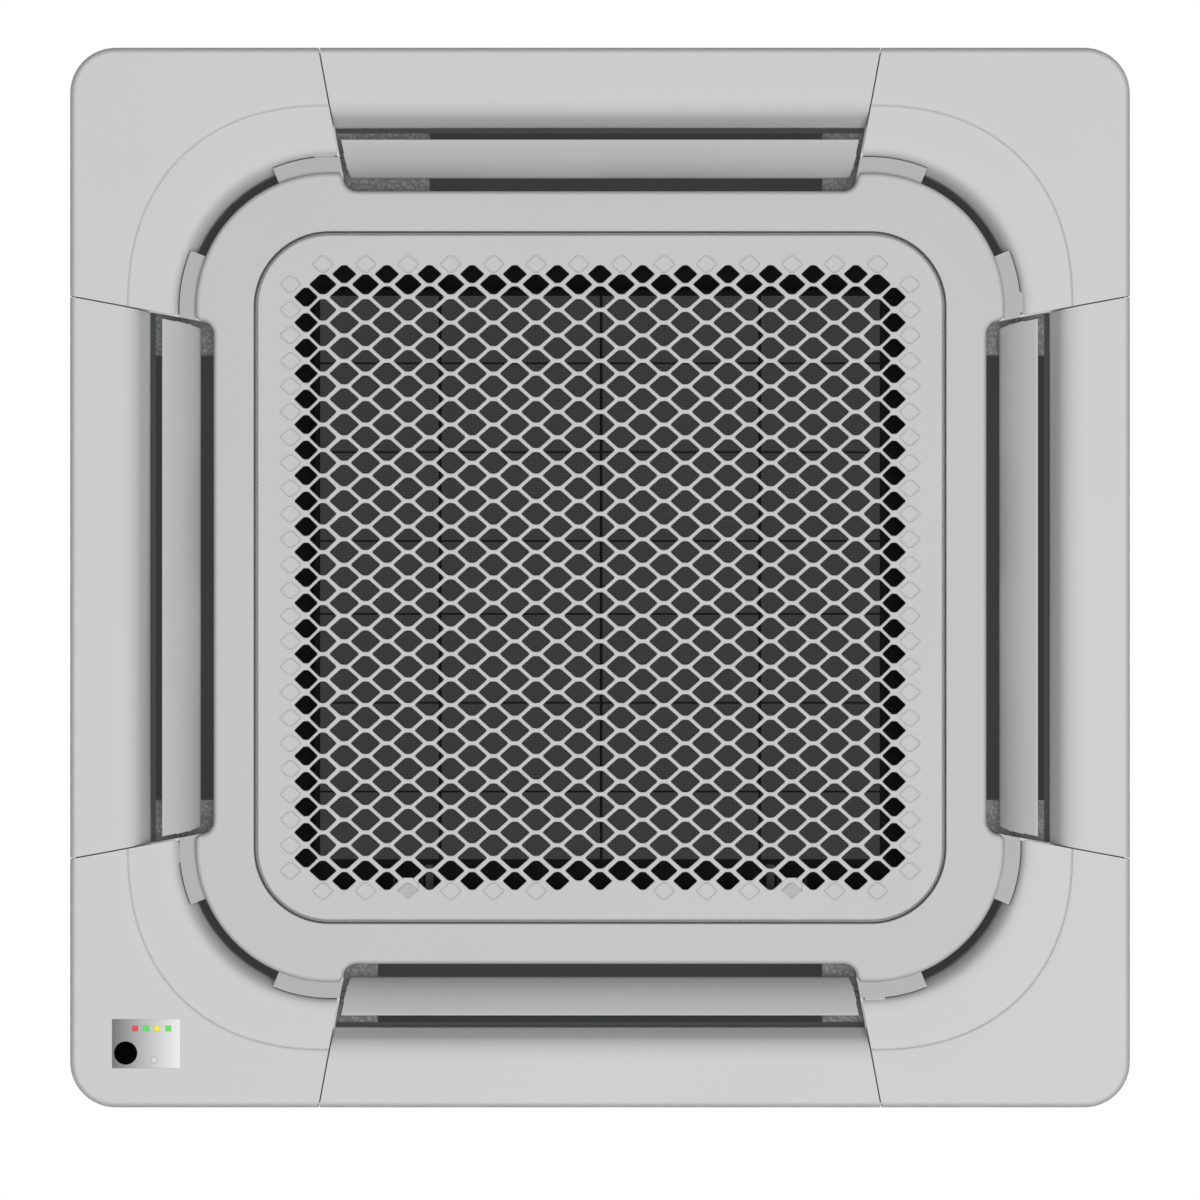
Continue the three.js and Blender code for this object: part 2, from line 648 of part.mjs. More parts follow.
// A snap-on corner cover, at the front right.
function cornerCover() {
  const crease = loft([
    { outline: creaseOutline(CREASE_RAMP + 1), z: FACE_Z - 0.2 },
    { outline: creaseOutline(0), z: FACE_Z + CREASE_STEP },
  ]);
  const cove = aboutArc([[CORE, CUT_BELOW], [COVE_ARC, CUT_BELOW], ...coveFace(0), [CORE, PAD_Z]]);
  const padEdge = RING_ARC + PAD_WIDTH + CLEARANCE;
  const pads = [
    post(CORE + 20, CUT_BELOW, CUT_ABOVE, ARC_CENTRE, ARC_CENTRE),
    through(sector(CORE, padEdge, -30, 45 - ARC_SLOT_HALF_ANGLE, 8)),
    through(sector(CORE, padEdge, 45 + ARC_SLOT_HALF_ANGLE, 120, 8)),
  ];
  const inside = aboutArc([
    ...coveFace(SKIN),
    [CORE, PAD_Z + SKIN],
    [CORE, COVER_OPEN],
    [PANEL_HALF, COVER_OPEN],
    [PANEL_HALF, FACE_Z + CREASE_STEP + SKIN],
  ]);
  const wall = throat(SKIN, 1);
  const hollow = cut(common(inside, through(cornerOutline(PARTING + SKIN, SKIN))), wall);
  const open = cut(prism(cornerOutline(-20, SKIN), PAD_Z + SKIN, COVER_OPEN), wall);
  const under = prism(cornerOutline(-20, SKIN), -SKIN - CLEARANCE, COVER_OPEN);
  const slab = loft(cornerLayers(-CLEARANCE));
  const shell = cut(slab, crease, cove, throat(0, 0.1), ...pads, hollow, open, under);
  const near = PANEL_HALF - TAB_ASIDE;
  const far = PANEL_HALF - TAB_INSET;
  return join(shell, coverTab(near, far), coverTab(far, near));
}

// ---------------------------------------------------------------- display

const lightX = (i) => LIGHT_X + i * LIGHT_PITCH;

// An upright box about a point.
const block = (x, y, halfX, halfY, z0, z1) => box(x - halfX, x + halfX, y - halfY, y + halfY, z0, z1);

// The holes that the receiver and the button stand in.
const displayHoles = () => [
  post(RECEIVER_RADIUS + CLEARANCE, CUT_BELOW, 0, RECEIVER_X, RECEIVER_Y, 24),
  post(BUTTON_RADIUS + CLEARANCE, CUT_BELOW, 0, BUTTON_X, BUTTON_Y),
];

const lights = (margin, bottom, top) =>
  Array.from({ length: LIGHT_COUNT }, (_, i) => {
    const half = LIGHT_SIZE / 2 + margin;
    return block(lightX(i), LIGHT_Y, half, half, bottom, top);
  });

// A bar along the row of lights.
const lightBar = (past, half, bottom, top) =>
  box(lightX(0) - past, lightX(LIGHT_COUNT - 1) + past, LIGHT_Y - half, LIGHT_Y + half, bottom, top);

// The front left cover, with a pocket for the display and room behind it for the board.
function displayCover(cover) {
  const w = DISPLAY_WIDTH / 2;
  const h = DISPLAY_HEIGHT / 2;
  const window = FACE_Z + DISPLAY_SKIN;
  const pocket = block(DISPLAY_X, DISPLAY_Y, w, h, FACE_Z - 5, window);
  const bay = block(DISPLAY_X, DISPLAY_Y, w - 2, h - 2, window + DISPLAY_SEAT, BOARD_Z + BOARD_SKIN + 4);
  const seatX = DISPLAY_X + w - 10;
  const seat = block(seatX, DISPLAY_Y + 9, 7, 3, window + DISPLAY_SEAT / 2, BOARD_Z - CLEARANCE);
  return join(cut(cover, pocket, bay, ...displayHoles(), lightBar(5, 4, CUT_BELOW, 0)), seat);
}

function displayWindow() {
  const w = DISPLAY_WIDTH / 2 - CLEARANCE;
  const h = DISPLAY_HEIGHT / 2 - CLEARANCE;
  const pane = block(DISPLAY_X, DISPLAY_Y, w, h, FACE_Z, FACE_Z + DISPLAY_SKIN - CLEARANCE);
  return cut(pane, ...displayHoles(), ...lights(CLEARANCE, CUT_BELOW, 0));
}

// The four lights, on the bar that joins them in front of the board.
const indicatorLights = () =>
  join(lightBar(4, 3, BOARD_Z - 4, BOARD_Z - CLEARANCE), ...lights(0, FACE_Z, BOARD_Z - 3));

function infraredReceiver() {
  return join(
    post(RECEIVER_RADIUS, FACE_Z, FACE_Z + 4, RECEIVER_X, RECEIVER_Y, 24),
    post(RECEIVER_NECK, FACE_Z + 3, BOARD_Z - CLEARANCE, RECEIVER_X, RECEIVER_Y, 24),
  );
}

function manualButton() {
  const cap = post(BUTTON_RADIUS, FACE_Z, BOARD_Z - CLEARANCE - BUTTON_TRAVEL, BUTTON_X, BUTTON_Y);
  const flangeZ = FACE_Z + DISPLAY_SKIN + DISPLAY_SEAT + CLEARANCE;
  const wide = BUTTON_RADIUS + BUTTON_FLANGE;
  return join(cap, post(wide, flangeZ, flangeZ + BUTTON_FLANGE, BUTTON_X, BUTTON_Y));
}

const displayBoard = () =>
  block(DISPLAY_X, DISPLAY_Y, DISPLAY_WIDTH / 2 - 4, DISPLAY_HEIGHT / 2 - 3, BOARD_Z, BOARD_Z + BOARD_SKIN);

// ---------------------------------------------------------------- louvres

function louverPlan() {
  const low = LOUVER_AXIS_U - LOUVER_CHORD / 2;
  const high = low + LOUVER_CHORD;
  const inner = sideHalf(low, LOUVER_GAP_INNER);
  const outer = sideHalf(high, LOUVER_GAP_OUTER);
  const r = LOUVER_CORNER;
  return [
    ...arc(-inner + r, low + r, r, 180, 270, 3),
    ...arc(inner - r, low + r, r, 270, 360, 3),
    [outer, high],
    [-outer, high],
  ];
}

// The front louvre, standing open: a blade hollow towards the air, ribs at its ends and its two pins.
function louver() {
  const turn = LOUVER_TURN / 2;
  const radius = LOUVER_CHORD / 2 / Math.sin(radians(turn));
  const middle = radius * Math.cos(radians(turn));
  const curve = arc(LOUVER_AXIS_U, LOUVER_AXIS_Z + middle, radius, 270 - turn, 270 + turn, 7);
  const blade = common(beam(ribbon(curve, LOUVER_SKIN), -PANEL_HALF, PANEL_HALF), through(louverPlan()));
  const inner = sideHalf(LOUVER_AXIS_U) - RIB_INSET;
  const outer = sideHalf(LOUVER_AXIS_U) + SKIN + 0.5;
  const low = LOUVER_AXIS_Z - LOUVER_SKIN;
  const rib = (x) => block(x, LOUVER_AXIS_U, RIB_HALF, RIB_REACH, low, LOUVER_AXIS_Z + PIN_RADIUS);
  return join(
    blade,
    rib(-inner),
    rib(inner),
    rod(PIN_RADIUS, inner, outer, LOUVER_AXIS_U, LOUVER_AXIS_Z),
    rod(PIN_RADIUS, -outer, -inner, LOUVER_AXIS_U, LOUVER_AXIS_Z),
  )
    .translate(0, -LOUVER_AXIS_U, -LOUVER_AXIS_Z)
    .rotateX(radians(-LOUVER_TILT))
    .translate(0, LOUVER_AXIS_U, LOUVER_AXIS_Z);
}

// The stepper at the front louvre's right end, with the plate it is screwed down by.
function louverMotor() {
  const from = sideHalf(LOUVER_AXIS_U + MOTOR_RADIUS) + SKIN + CLEARANCE + 0.2;
  const z = LOUVER_AXIS_Z + MOTOR_OFFSET;
  const can = rod(MOTOR_RADIUS, from, from + MOTOR_LENGTH, LOUVER_AXIS_U, z, 20);
  const wide = MOTOR_RADIUS + 2;
  const top = -SKIN - CLEARANCE;
  const plate = box(from, from + MOTOR_PLATE, LOUVER_AXIS_U - wide, LOUVER_AXIS_U + wide, z, top);
  return join(can, plate);
}

// ---------------------------------------------------------------- intake grille and filter

const pitchX = (i) => i * MESH_PITCH_X;
const pitchY = (j) => j * MESH_PITCH_Y;

// The lattice's openings: two interleaved grids of diamonds.
function latticeHoles() {
  const w = MESH_PITCH_X / 2 - MESH_STRAND / 2;
  const h = MESH_PITCH_Y / 2 - MESH_STRAND / 3;
  const diamond = (x, y) => [[x + w, y], [x, y + h], [x - w, y], [x, y - h]];
  const grid = (columns, rows) =>
    Array.from({ length: columns * rows }, (_, i) => {
      const column = i % columns;
      const row = Math.floor(i / columns);
      return diamond(pitchX(column - (columns - 1) / 2), pitchY(row - (rows - 1) / 2));
    });
  const middle = DOOR_HALF - MESH_EDGE - MESH_RADIUS;
  const past = (v) => Math.max(Math.abs(v) - middle, 0);
  const outside = ([x, y]) => Math.hypot(past(x), past(y)) > MESH_RADIUS;
  const shapes = [...grid(MESH_COLUMNS, MESH_ROWS - 1), ...grid(MESH_COLUMNS - 1, MESH_ROWS)];
  return shapes.filter((shape) => !shape.some(outside));
}

const knobOutline = (x, margin = 0) => [
  [x + KNOB_WIDTH / 2 + margin, LATCH_Y],
  [x, LATCH_Y + KNOB_LENGTH / 2 + margin],
  [x - KNOB_WIDTH / 2 - margin, LATCH_Y],
  [x, LATCH_Y - KNOB_LENGTH / 2 - margin],
];

// The slot a latch knob travels in.
const knobSlot = (x) => {
  const w = KNOB_WIDTH / 2 + RUNNING;
  const h = KNOB_LENGTH / 2 + RUNNING;
  const far = LATCH_Y - LATCH_TRAVEL;
  return [[x + w, far], [x + w, LATCH_Y], [x, LATCH_Y + h], [x - w, LATCH_Y], [x - w, far], [x, far - h]];
};

// The rails and bridge that hold one latch against the back of the grille.
function latchGuide(x) {
  const w = LATCH_HALF + CLEARANCE;
  const top = LATCH_Z + LATCH_SKIN + CLEARANCE;
  const front = LATCH_FRONT + 1;
  const rails = [
    box(x - w - GUIDE_RAIL, x - w, LATCH_REAR, front, DOOR_Z + 1, top),
    box(x + w, x + w + GUIDE_RAIL, LATCH_REAR, front, DOOR_Z + 1, top),
  ];
  const bridge = box(x - w - GUIDE_RAIL, x + w + GUIDE_RAIL, front - 14, front - 6, top - 0.1, top + 1.5);
  return join(...rails, bridge);
}

// One latch, standing shut: a plate with its knob in the face and its tongue past the door's edge.
function latch(x) {
  const top = LATCH_Z + LATCH_SKIN;
  return join(
    box(x - LATCH_HALF, x + LATCH_HALF, LATCH_REAR + LATCH_TRAVEL, LATCH_FRONT, LATCH_Z, top),
    box(x - TONGUE_HALF, x + TONGUE_HALF, LATCH_FRONT - 1, DOOR_HALF + LATCH_REACH, LATCH_Z, top),
    prism(knobOutline(x), DOOR_Z, LATCH_Z + 1),
  );
}

// The cut that a latch's tongue slides through in the front wall.
function tongueSlot(x) {
  const w = TONGUE_HALF + RUNNING;
  const top = LATCH_Z + LATCH_SKIN + CLEARANCE;
  return box(x - w, x + w, LATCH_FRONT - 1, DOOR_HALF + 2, LATCH_Z - CLEARANCE, top);
}

// A hinge's notch in the rear wall, with blocks beside it and the moulded pin across it.
function hingeNotch(x) {
  const half = HINGE_LUG_WIDTH / 2 + 1;
  const y = -DOOR_HALF + HINGE_INSET;
  const z = DOOR_Z + HINGE_LIFT;
  const top = z + HINGE_EYE_RADIUS;
  const front = y + HINGE_EYE_RADIUS + CLEARANCE;
  return {
    blocks: [-1, 1].map((side) => {
      const inner = x + side * half;
      const outer = inner + side * HINGE_BLOCK;
      return box(Math.min(inner, outer), Math.max(inner, outer), -DOOR_HALF + 0.5, y + 2.5, DOOR_Z + 1, top);
    }),
    notch: box(x - half, x + half, -DOOR_HALF - 1, front, DOOR_Z + HINGE_FLOOR, 0),
    pin: rod(HINGE_PIN_RADIUS, x - half - 1, x + half + 1, y, z, 12),
  };
}

function intakeGrille() {
  const layer = (inset, z) => ({ outline: roundedSquare(DOOR_HALF - inset, DOOR_RADIUS - inset), z });
  const slab = loft([
    layer(DOOR_EDGE, DOOR_Z),
    layer(DOOR_EDGE * (1 - Math.SQRT1_2), DOOR_Z + DOOR_EDGE * (1 - Math.SQRT1_2)),
    layer(0, DOOR_Z + DOOR_EDGE),
    layer(0, DOOR_Z + DOOR_SKIN),
  ]);
  const holes = [...latticeHoles(), knobSlot(-LATCH_AT), knobSlot(LATCH_AT)];
  const face = cut(slab, ...holes.map((hole) => prism(hole, DOOR_Z - 1, 0)));
  const wall = prism(roundedSquare(DOOR_HALF, DOOR_RADIUS), DOOR_Z + DOOR_EDGE, DOOR_WALL_TOP, [
    roundedSquare(DOOR_HALF - DOOR_WALL, DOOR_RADIUS - DOOR_WALL),
  ]);
  const hinges = [-HINGE_AT, HINGE_AT].map(hingeNotch);
  const tongues = [tongueSlot(-LATCH_AT), tongueSlot(LATCH_AT)];
  const body = join(face, wall, ...hinges.flatMap(({ blocks }) => blocks));
  return join(
    cut(body, ...hinges.map(({ notch }) => notch), ...tongues),
    ...hinges.map(({ pin }) => pin),
    latchGuide(-LATCH_AT),
    latchGuide(LATCH_AT),
  );
}

// A frame with ribs across it, over a thin sheet of netting.
function airFilter() {
  const bottom = DOOR_Z + DOOR_SKIN + CLEARANCE;
  const floor = bottom + FILTER_SHEET;
  const top = bottom + FILTER_DEPTH;
  const width = (2 * (FILTER_HALF_X - FILTER_RIM) + FILTER_RIB) / FILTER_COLUMNS;
  const depth = (2 * (FILTER_HALF_Y - FILTER_RIM) + FILTER_RIB) / FILTER_ROWS;
  const pockets = Array.from({ length: FILTER_COLUMNS * FILTER_ROWS }, (_, i) => {
    const x = -FILTER_HALF_X + FILTER_RIM + (i % FILTER_COLUMNS) * width;
    const y = -FILTER_HALF_Y + FILTER_RIM + Math.floor(i / FILTER_COLUMNS) * depth;
    return box(x, x + width - FILTER_RIB, y, y + depth - FILTER_RIB, floor, top + 1);
  });
  return cut(box(-FILTER_HALF_X, FILTER_HALF_X, -FILTER_HALF_Y, FILTER_HALF_Y, bottom, top), ...pockets);
}

// ---------------------------------------------------------------- casing

// A round cut through the casing's left wall and its insulation.
const wallHole = (radius, y, z, sides) => rod(radius, -BODY_HALF - 10, -BODY_HALF + WALL_REACH, y, z, sides);

const pipeHoles = (margin) => [
  wallHole(GAS_RADIUS + margin, GAS_Y, GAS_Z),
  wallHole(LIQUID_RADIUS + margin, LIQUID_Y, LIQUID_Z),
  wallHole(DRAIN_RADIUS + margin, DRAIN_Y, DRAIN_Z),
];

// The gland: its thread through the wall, a hexagon against it and the domed nut that grips the cable.
function cableGland() {
  const wall = -BODY_HALF - CLEARANCE;
  const along = (radius, from, to, sides) => rod(radius, from, to, GLAND_Y, GLAND_Z, sides);
  return cut(
    join(
      along(GLAND_RADIUS, wall - 1, -BODY_HALF + SHEET + FOAM - 1, 20),
      along(GLAND_NUT, wall - 6, wall, 6),
      along(GLAND_RADIUS + 1.5, wall - 14, wall - 5, 20),
      along(GLAND_RADIUS - 2, wall - 18, wall - 13, 20),
    ),
    along(GLAND_BORE, wall - 20, -BODY_HALF + WALL_REACH, 20),
  );
}

function panelSeal() {
  const mouth = roundedSquare(DOOR_HALF + DOOR_GAP, DOOR_RADIUS + DOOR_GAP);
  return prism(octagon(0, SEAL_HALF), COLLAR_TOP + CLEARANCE, BODY_BOTTOM - CLEARANCE, [
    mouth,
    ...QUARTERS.map((turn) => turned(slotOutline(), turn)),
    ...QUARTERS.map((turn) => turned(arcSlot(), turn)),
  ]);
}

function sideCasing() {
  const wall = prism(octagon(0), BODY_BOTTOM, BODY_TOP - SHEET - CLEARANCE, [octagon(SHEET)]);
  const flange = prism(octagon(0.5), BODY_BOTTOM, BODY_BOTTOM + SHEET, [octagon(FLANGE)]);
  const entry = wallHole(GLAND_RADIUS + CLEARANCE, GLAND_Y, GLAND_Z, 20);
  return cut(join(wall, flange), ...pipeHoles(3), entry);
}

function topPlate() {
  const sheet = prism(octagon(0), BODY_TOP - SHEET, BODY_TOP);
  const low = BODY_TOP - SHEET - DISH_DEPTH;
  const high = BODY_TOP - 1;
  const inner = DISH_RADIUS - DISH_WIDTH;
  const dish = lathe([[inner, low], [DISH_RADIUS, low], [DISH_RADIUS, high], [inner, high]], 32);
  return join(sheet, dish);
}

// The insulation inside the wall and under the top.
function foamLiner() {
  const top = BODY_TOP - SHEET - 2 * CLEARANCE;
  return cut(
    prism(octagon(SHEET + CLEARANCE), BODY_BOTTOM + SHEET + CLEARANCE, top),
    prism(octagon(SHEET + FOAM), 0, top - FOAM_TOP),
    post(DISH_RADIUS + 4, 0, BODY_TOP, 0, 0, 32),
    ...pipeHoles(1),
    wallHole(GLAND_RADIUS + 1, GLAND_Y, GLAND_Z, 20),
  );
}

// A bracket on one of the casing's chamfers, with an open slot for a hanger rod.
function hangerBracket(sideX, sideY) {
  const along = Math.SQRT1_2;
  const faceAt = (2 * BODY_HALF - BODY_CHAMFER) * along + CLEARANCE;
  const rodOut = (HANGER_X + HANGER_Y) * along;
  const rodAside = (HANGER_X - HANGER_Y) * along;
  const place = (out, aside) => [sideX * (out + aside) * along, sideY * (out - aside) * along];
  const s = HANGER_SLOT / 2;
  const tip = rodOut + 16;
  const lug = [
    [faceAt, rodAside - 26],
    [tip, rodAside - 20],
    [tip, rodAside - s],
    ...arc(rodOut, rodAside, s, -90, -270, 6),
    [tip, rodAside + s],
    [tip, rodAside + 20],
    [faceAt, rodAside + 26],
  ];
  const plate = [
    [faceAt, -HANGER_REACH],
    [faceAt + HANGER_SHEET, -HANGER_REACH],
    [faceAt + HANGER_SHEET, HANGER_REACH + 10],
    [faceAt, HANGER_REACH + 10],
  ];
  return join(
    prism(lug.map(([out, aside]) => place(out, aside)), HANGER_Z, HANGER_Z + HANGER_SHEET),
    prism(plate.map(([out, aside]) => place(out, aside)), HANGER_Z - 30, HANGER_Z + 45),
  );
}

// ---------------------------------------------------------------- fan

function motorMount() {
  const bottom = MOTOR_TOP + CLEARANCE;
  const top = BODY_TOP - SHEET - DISH_DEPTH - CLEARANCE;
  const inner = MOUNT_RADIUS - LEG_HALF;
  const w = LEG_HALF;
  const leg = (turn) => rotated(box(inner, DISH_RADIUS - 2, -w, w, top - MOUNT_SHEET, top), turn);
  const rise = (turn) => rotated(box(inner, inner + MOUNT_SHEET, -w, w, bottom, top), turn);
  return join(
    post(MOUNT_RADIUS - 8, bottom, bottom + MOUNT_SHEET, 0, 0, 32),
    ...[0, 120, 240].flatMap((turn) => [leg(turn), rise(turn)]),
  );
}

function fanMotor() {
  const r = MOTOR_CAN;
  const bore = SHAFT_RADIUS + RUNNING;
  const nose = bore + 9.5;
  return lathe(
    [
      [bore, MOTOR_BOTTOM - 6],
      [nose, MOTOR_BOTTOM - 6],
      [nose, MOTOR_BOTTOM],
      [r - MOTOR_SHOULDER, MOTOR_BOTTOM],
      [r, MOTOR_BOTTOM + MOTOR_SHOULDER],
      [r, MOTOR_TOP - MOTOR_SHOULDER],
      [r - MOTOR_SHOULDER, MOTOR_TOP],
      [bore, MOTOR_TOP],
    ],
    32,
  );
}

const motorShaft = () => post(SHAFT_RADIUS, SHAFT_BOTTOM, MOTOR_TOP - 5, 0, 0, 20);

function fanNut() {
  const hexagon = post(11, FAN_BOSS - 9, FAN_BOSS - CLEARANCE, 0, 0, 6);
  return cut(hexagon, post(SHAFT_RADIUS + CLEARANCE, 0, FAN_BOSS, 0, 0, 20));
}

function fanHub() {
  const rise = MOTOR_CAN + 14;
  return [
    [SHAFT_RADIUS + CLEARANCE, FAN_BOSS],
    [15, FAN_BOSS],
    [17, FAN_HUB_Z],
    [rise - 8, FAN_HUB_Z],
    [rise, FAN_HUB_Z + 52],
    [rise + 10, FAN_TOP - FAN_SKIN],
    [FAN_RADIUS, FAN_TOP - FAN_SKIN],
    [FAN_RADIUS, FAN_TOP],
    [rise + 8, FAN_TOP],
    [rise - 3, FAN_HUB_Z + 54],
    [rise - 11, FAN_HUB_Z + FAN_SKIN],
    [SHAFT_RADIUS + CLEARANCE, FAN_HUB_Z + FAN_SKIN],
  ];
}

function fanShroud() {
  return [
    [FAN_EYE, 64],
    [FAN_EYE + 3, 64],
    [FAN_EYE + 7, 80],
    [190, 96],
    [FAN_RADIUS, 102],
    [FAN_RADIUS, 105],
    [188, 99],
    [FAN_EYE + 3.5, 83],
  ];
}

// A backward-curved blade, trimmed to the space between hub and shroud.
function fanBlade(turn) {
  const line = [[148, 0], [170, -24], [195, -44], [227, -62]].map(([x, y]) => {
    const r = Math.hypot(x, y);
    const scale = x / r;
    return [x * scale, y * scale];
  });
  const rim = FAN_RADIUS - 1;
  const top = FAN_TOP - 1;
  const low = [[140, 112], [FAN_EYE + 1, 76], [FAN_EYE + 5, 81.5], [189, 97.5], [rim, 103.5]];
  const space = lathe([...low, [rim, top], [140, top]], 32);
  return common(rotated(prism(ribbon(line, FAN_SKIN), 60, FAN_TOP + 5), turn), space);
}

function turboFan() {
  const blades = Array.from({ length: FAN_BLADES }, (_, i) => fanBlade((360 * i) / FAN_BLADES));
  return join(lathe(fanHub(), 28), lathe(fanShroud(), 28), ...blades);
}

// The plate under the fan with its rolled inlet, cut away beside the control box.
function bellmouth() {
  const bottom = BODY_BOTTOM - CLEARANCE - SKIN;
  const top = BODY_BOTTOM - CLEARANCE;
  const inlet = lathe(
    [
      [BELL_RADIUS + 3, bottom],
      [BELL_RADIUS - 8, bottom + 3],
      [THROAT + 8, bottom + 15],
      [THROAT, bottom + 32],
      [THROAT, BELL_TOP],
      [THROAT + SKIN, BELL_TOP],
      [THROAT + SKIN, bottom + 33],
      [THROAT + 11, bottom + 17],
      [BELL_RADIUS - 4, bottom + 5],
      [BELL_RADIUS + 3, top],
    ],
    28,
  );
  const plate = prism(roundedSquare(BELL_HALF, BELL_CORNER), bottom, top);
  const gap = 2 * CLEARANCE;
  const bay = box(-BOX_HALF - gap, BOX_HALF + gap, BOX_REAR - gap, BOX_FRONT + gap, 0, 100);
  return join(cut(plate, post(BELL_RADIUS, 0, 100, 0, 0, 28), bay), inlet);
}

// ---------------------------------------------------------------- coil and pipes

function heatExchanger() {
  const ring = prism(roundedSquare(COIL_OUTER, COIL_CORNER), TROUGH_Z + CLEARANCE, COIL_TOP, [
    roundedSquare(COIL_INNER, COIL_CORNER - COIL_OUTER + COIL_INNER),
  ]);
  return cut(ring, box(-BODY_HALF, -COIL_END, -BODY_HALF, -COIL_END, 0, BODY_TOP));
}

function coilPlate(rear) {
  const from = COIL_INNER - 2;
  const to = COIL_OUTER + 2;
  const near = COIL_END + CLEARANCE;
  const far = near + 1.5;
  return rear
    ? box(-far, -near, -to, -from, TROUGH_Z + CLEARANCE, COIL_TOP)
    : box(-to, -from, -far, -near, TROUGH_Z + CLEARANCE, COIL_TOP);
}

// The end plate on the rear run, with the return bends.
function returnPlate() {
  const y = -(COIL_INNER + COIL_OUTER) / 2;
  const bends = Array.from({ length: BENDS }, (_, i) => {
    const z = PAN_TOP + i * BEND_PITCH;
    const x = -COIL_END - 1.3;
    const curve = arc(x - 6, z, BEND_RADIUS, -90, -270, 6).map(([px, pz]) => [px, y, pz]);
    return bar(TUBE, [[x, y, z - BEND_RADIUS], ...curve, [x, y, z + BEND_RADIUS]], 8, 6);
  });
  return join(coilPlate(true), ...bends);
}

// The gas header beside the coil's other end, and the pipe that leaves it through the casing.
function gasPipe() {
  const coil = -COIL_END - 1.8 - 2 * CLEARANCE;
  const feeders = Array.from({ length: 5 }, (_, i) =>
    barAlongY(TUBE, GAS_Y, coil, GAS_X, 76 + i * FEEDER_PITCH),
  );
  return join(
    post(9, 60, 222, GAS_X, GAS_Y),
    ...feeders,
    rod(GAS_RADIUS, PIPE_END, GAS_X, GAS_Y, GAS_Z, 16),
  );
}

function liquidPipe() {
  const coil = -COIL_END - 1.8 - 2 * CLEARANCE;
  const feeders = Array.from({ length: 4 }, (_, i) =>
    barAlongY(LIQUID_TUBE, LIQUID_Y, coil, LIQUID_X, 92 + i * FEEDER_PITCH),
  );
  return join(
    post(5, 80, 200, LIQUID_X, LIQUID_Y, 12),
    ...feeders,
    rod(LIQUID_RADIUS, PIPE_END, LIQUID_X, LIQUID_Y, LIQUID_Z, 12),
  );
}

// A flare nut at the end of a pipe.
function flareNut(radius, y, z) {
  const bore = radius + CLEARANCE;
  const hexagon = rod(radius + 5, PIPE_END + 1, PIPE_END + 20, y, z, 6);
  return cut(
    join(hexagon, rod(radius + 2.5, PIPE_END + 19, PIPE_END + 23, y, z, 16)),
    rod(bore, PIPE_END, PIPE_END + 30, y, z, 16),
  );
}

// The plate that closes the gap between the coil's ends, on the fan's side.
function partitionPlate() {
  const half = COIL_INNER + 2;
  const near = COIL_END + 2.5;
  const r = COIL_CORNER;
  const line = [
    [-half, -near],
    ...arc(-half + r, -half + r, r, 180, 270, 8),
    [-near, -half],
  ];
  return prism(ribbon(line, 1.2), TROUGH_Z + CLEARANCE, COIL_TOP);
}

// ---------------------------------------------------------------- drain

function drainPan() {
  const inner = PAN_OPENING + PAN_WALL;
  const outer = COIL_OUTER + 3.5;
  const trough = prism(roundedSquare(outer, COIL_CORNER + 3.5), TROUGH_Z, PAN_TOP + 1, [
    roundedSquare(inner, PAN_CORNER + PAN_WALL),
  ]);
  const duct = (to) => box(-PAN_DUCT, to, outer + 4.5, BODY_HALF, 0, 100);
  const corner = prism(sector(RING_ARC - 5, 190, 20, 70), 0, 100);
  return cut(
    prism(octagon(SHEET + FOAM + CLEARANCE), BODY_BOTTOM, PAN_TOP, [roundedSquare(PAN_OPENING, PAN_CORNER)]),
    trough,
    ...[0, 90, 270].map((turn) => rotated(duct(PAN_DUCT), turn)),
    rotated(duct(PAN_DUCT_SHORT), 180),
    ...QUARTERS.map((turn) => rotated(corner, turn)),
    post(PUMP_RADIUS + 2.5, SUMP_Z, PAN_TOP + 1, PUMP_AT, PUMP_AT, 24),
    post(PLUG_RADIUS + CLEARANCE, 0, SUMP_Z + 1, PLUG_AT, PLUG_AT),
  );
}

function drainPlug() {
  return join(
    post(PLUG_RADIUS, BODY_BOTTOM - 2, SUMP_Z - 0.5, PLUG_AT, PLUG_AT),
    post(PLUG_RADIUS + 2.5, BODY_BOTTOM - 3, BODY_BOTTOM - CLEARANCE, PLUG_AT, PLUG_AT),
  );
}

function drainPump() {
  const chamber = IMPELLER_Z + IMPELLER_HEIGHT + RUNNING;
  const foot = (turn) => {
    const a = radians(turn);
    const x = PUMP_AT + 19 * Math.cos(a);
    const y = PUMP_AT + 19 * Math.sin(a);
    return post(2.5, SUMP_Z + CLEARANCE, chamber + 3, x, y, 8);
  };
  return cut(
    join(
      post(PUMP_RADIUS, 62, 84, PUMP_AT, PUMP_AT, 18),
      post(18, 84, 112, PUMP_AT, PUMP_AT),
      post(20, 37, 62.5, PUMP_AT, PUMP_AT),
      ...[0, 120, 240].map(foot),
    ),
    post(IMPELLER_RADIUS + 1.5, 0, chamber, PUMP_AT, PUMP_AT),
  );
}

function pumpImpeller() {
  const top = IMPELLER_Z + IMPELLER_HEIGHT;
  const vane = (turn) => rotated(box(1, IMPELLER_RADIUS, -0.8, 0.8, IMPELLER_Z, top), turn);
  const vanes = [0, 60, 120, 180, 240, 300].map(vane);
  return join(post(4, IMPELLER_Z, top), ...vanes).translate(PUMP_AT, PUMP_AT, 0);
}

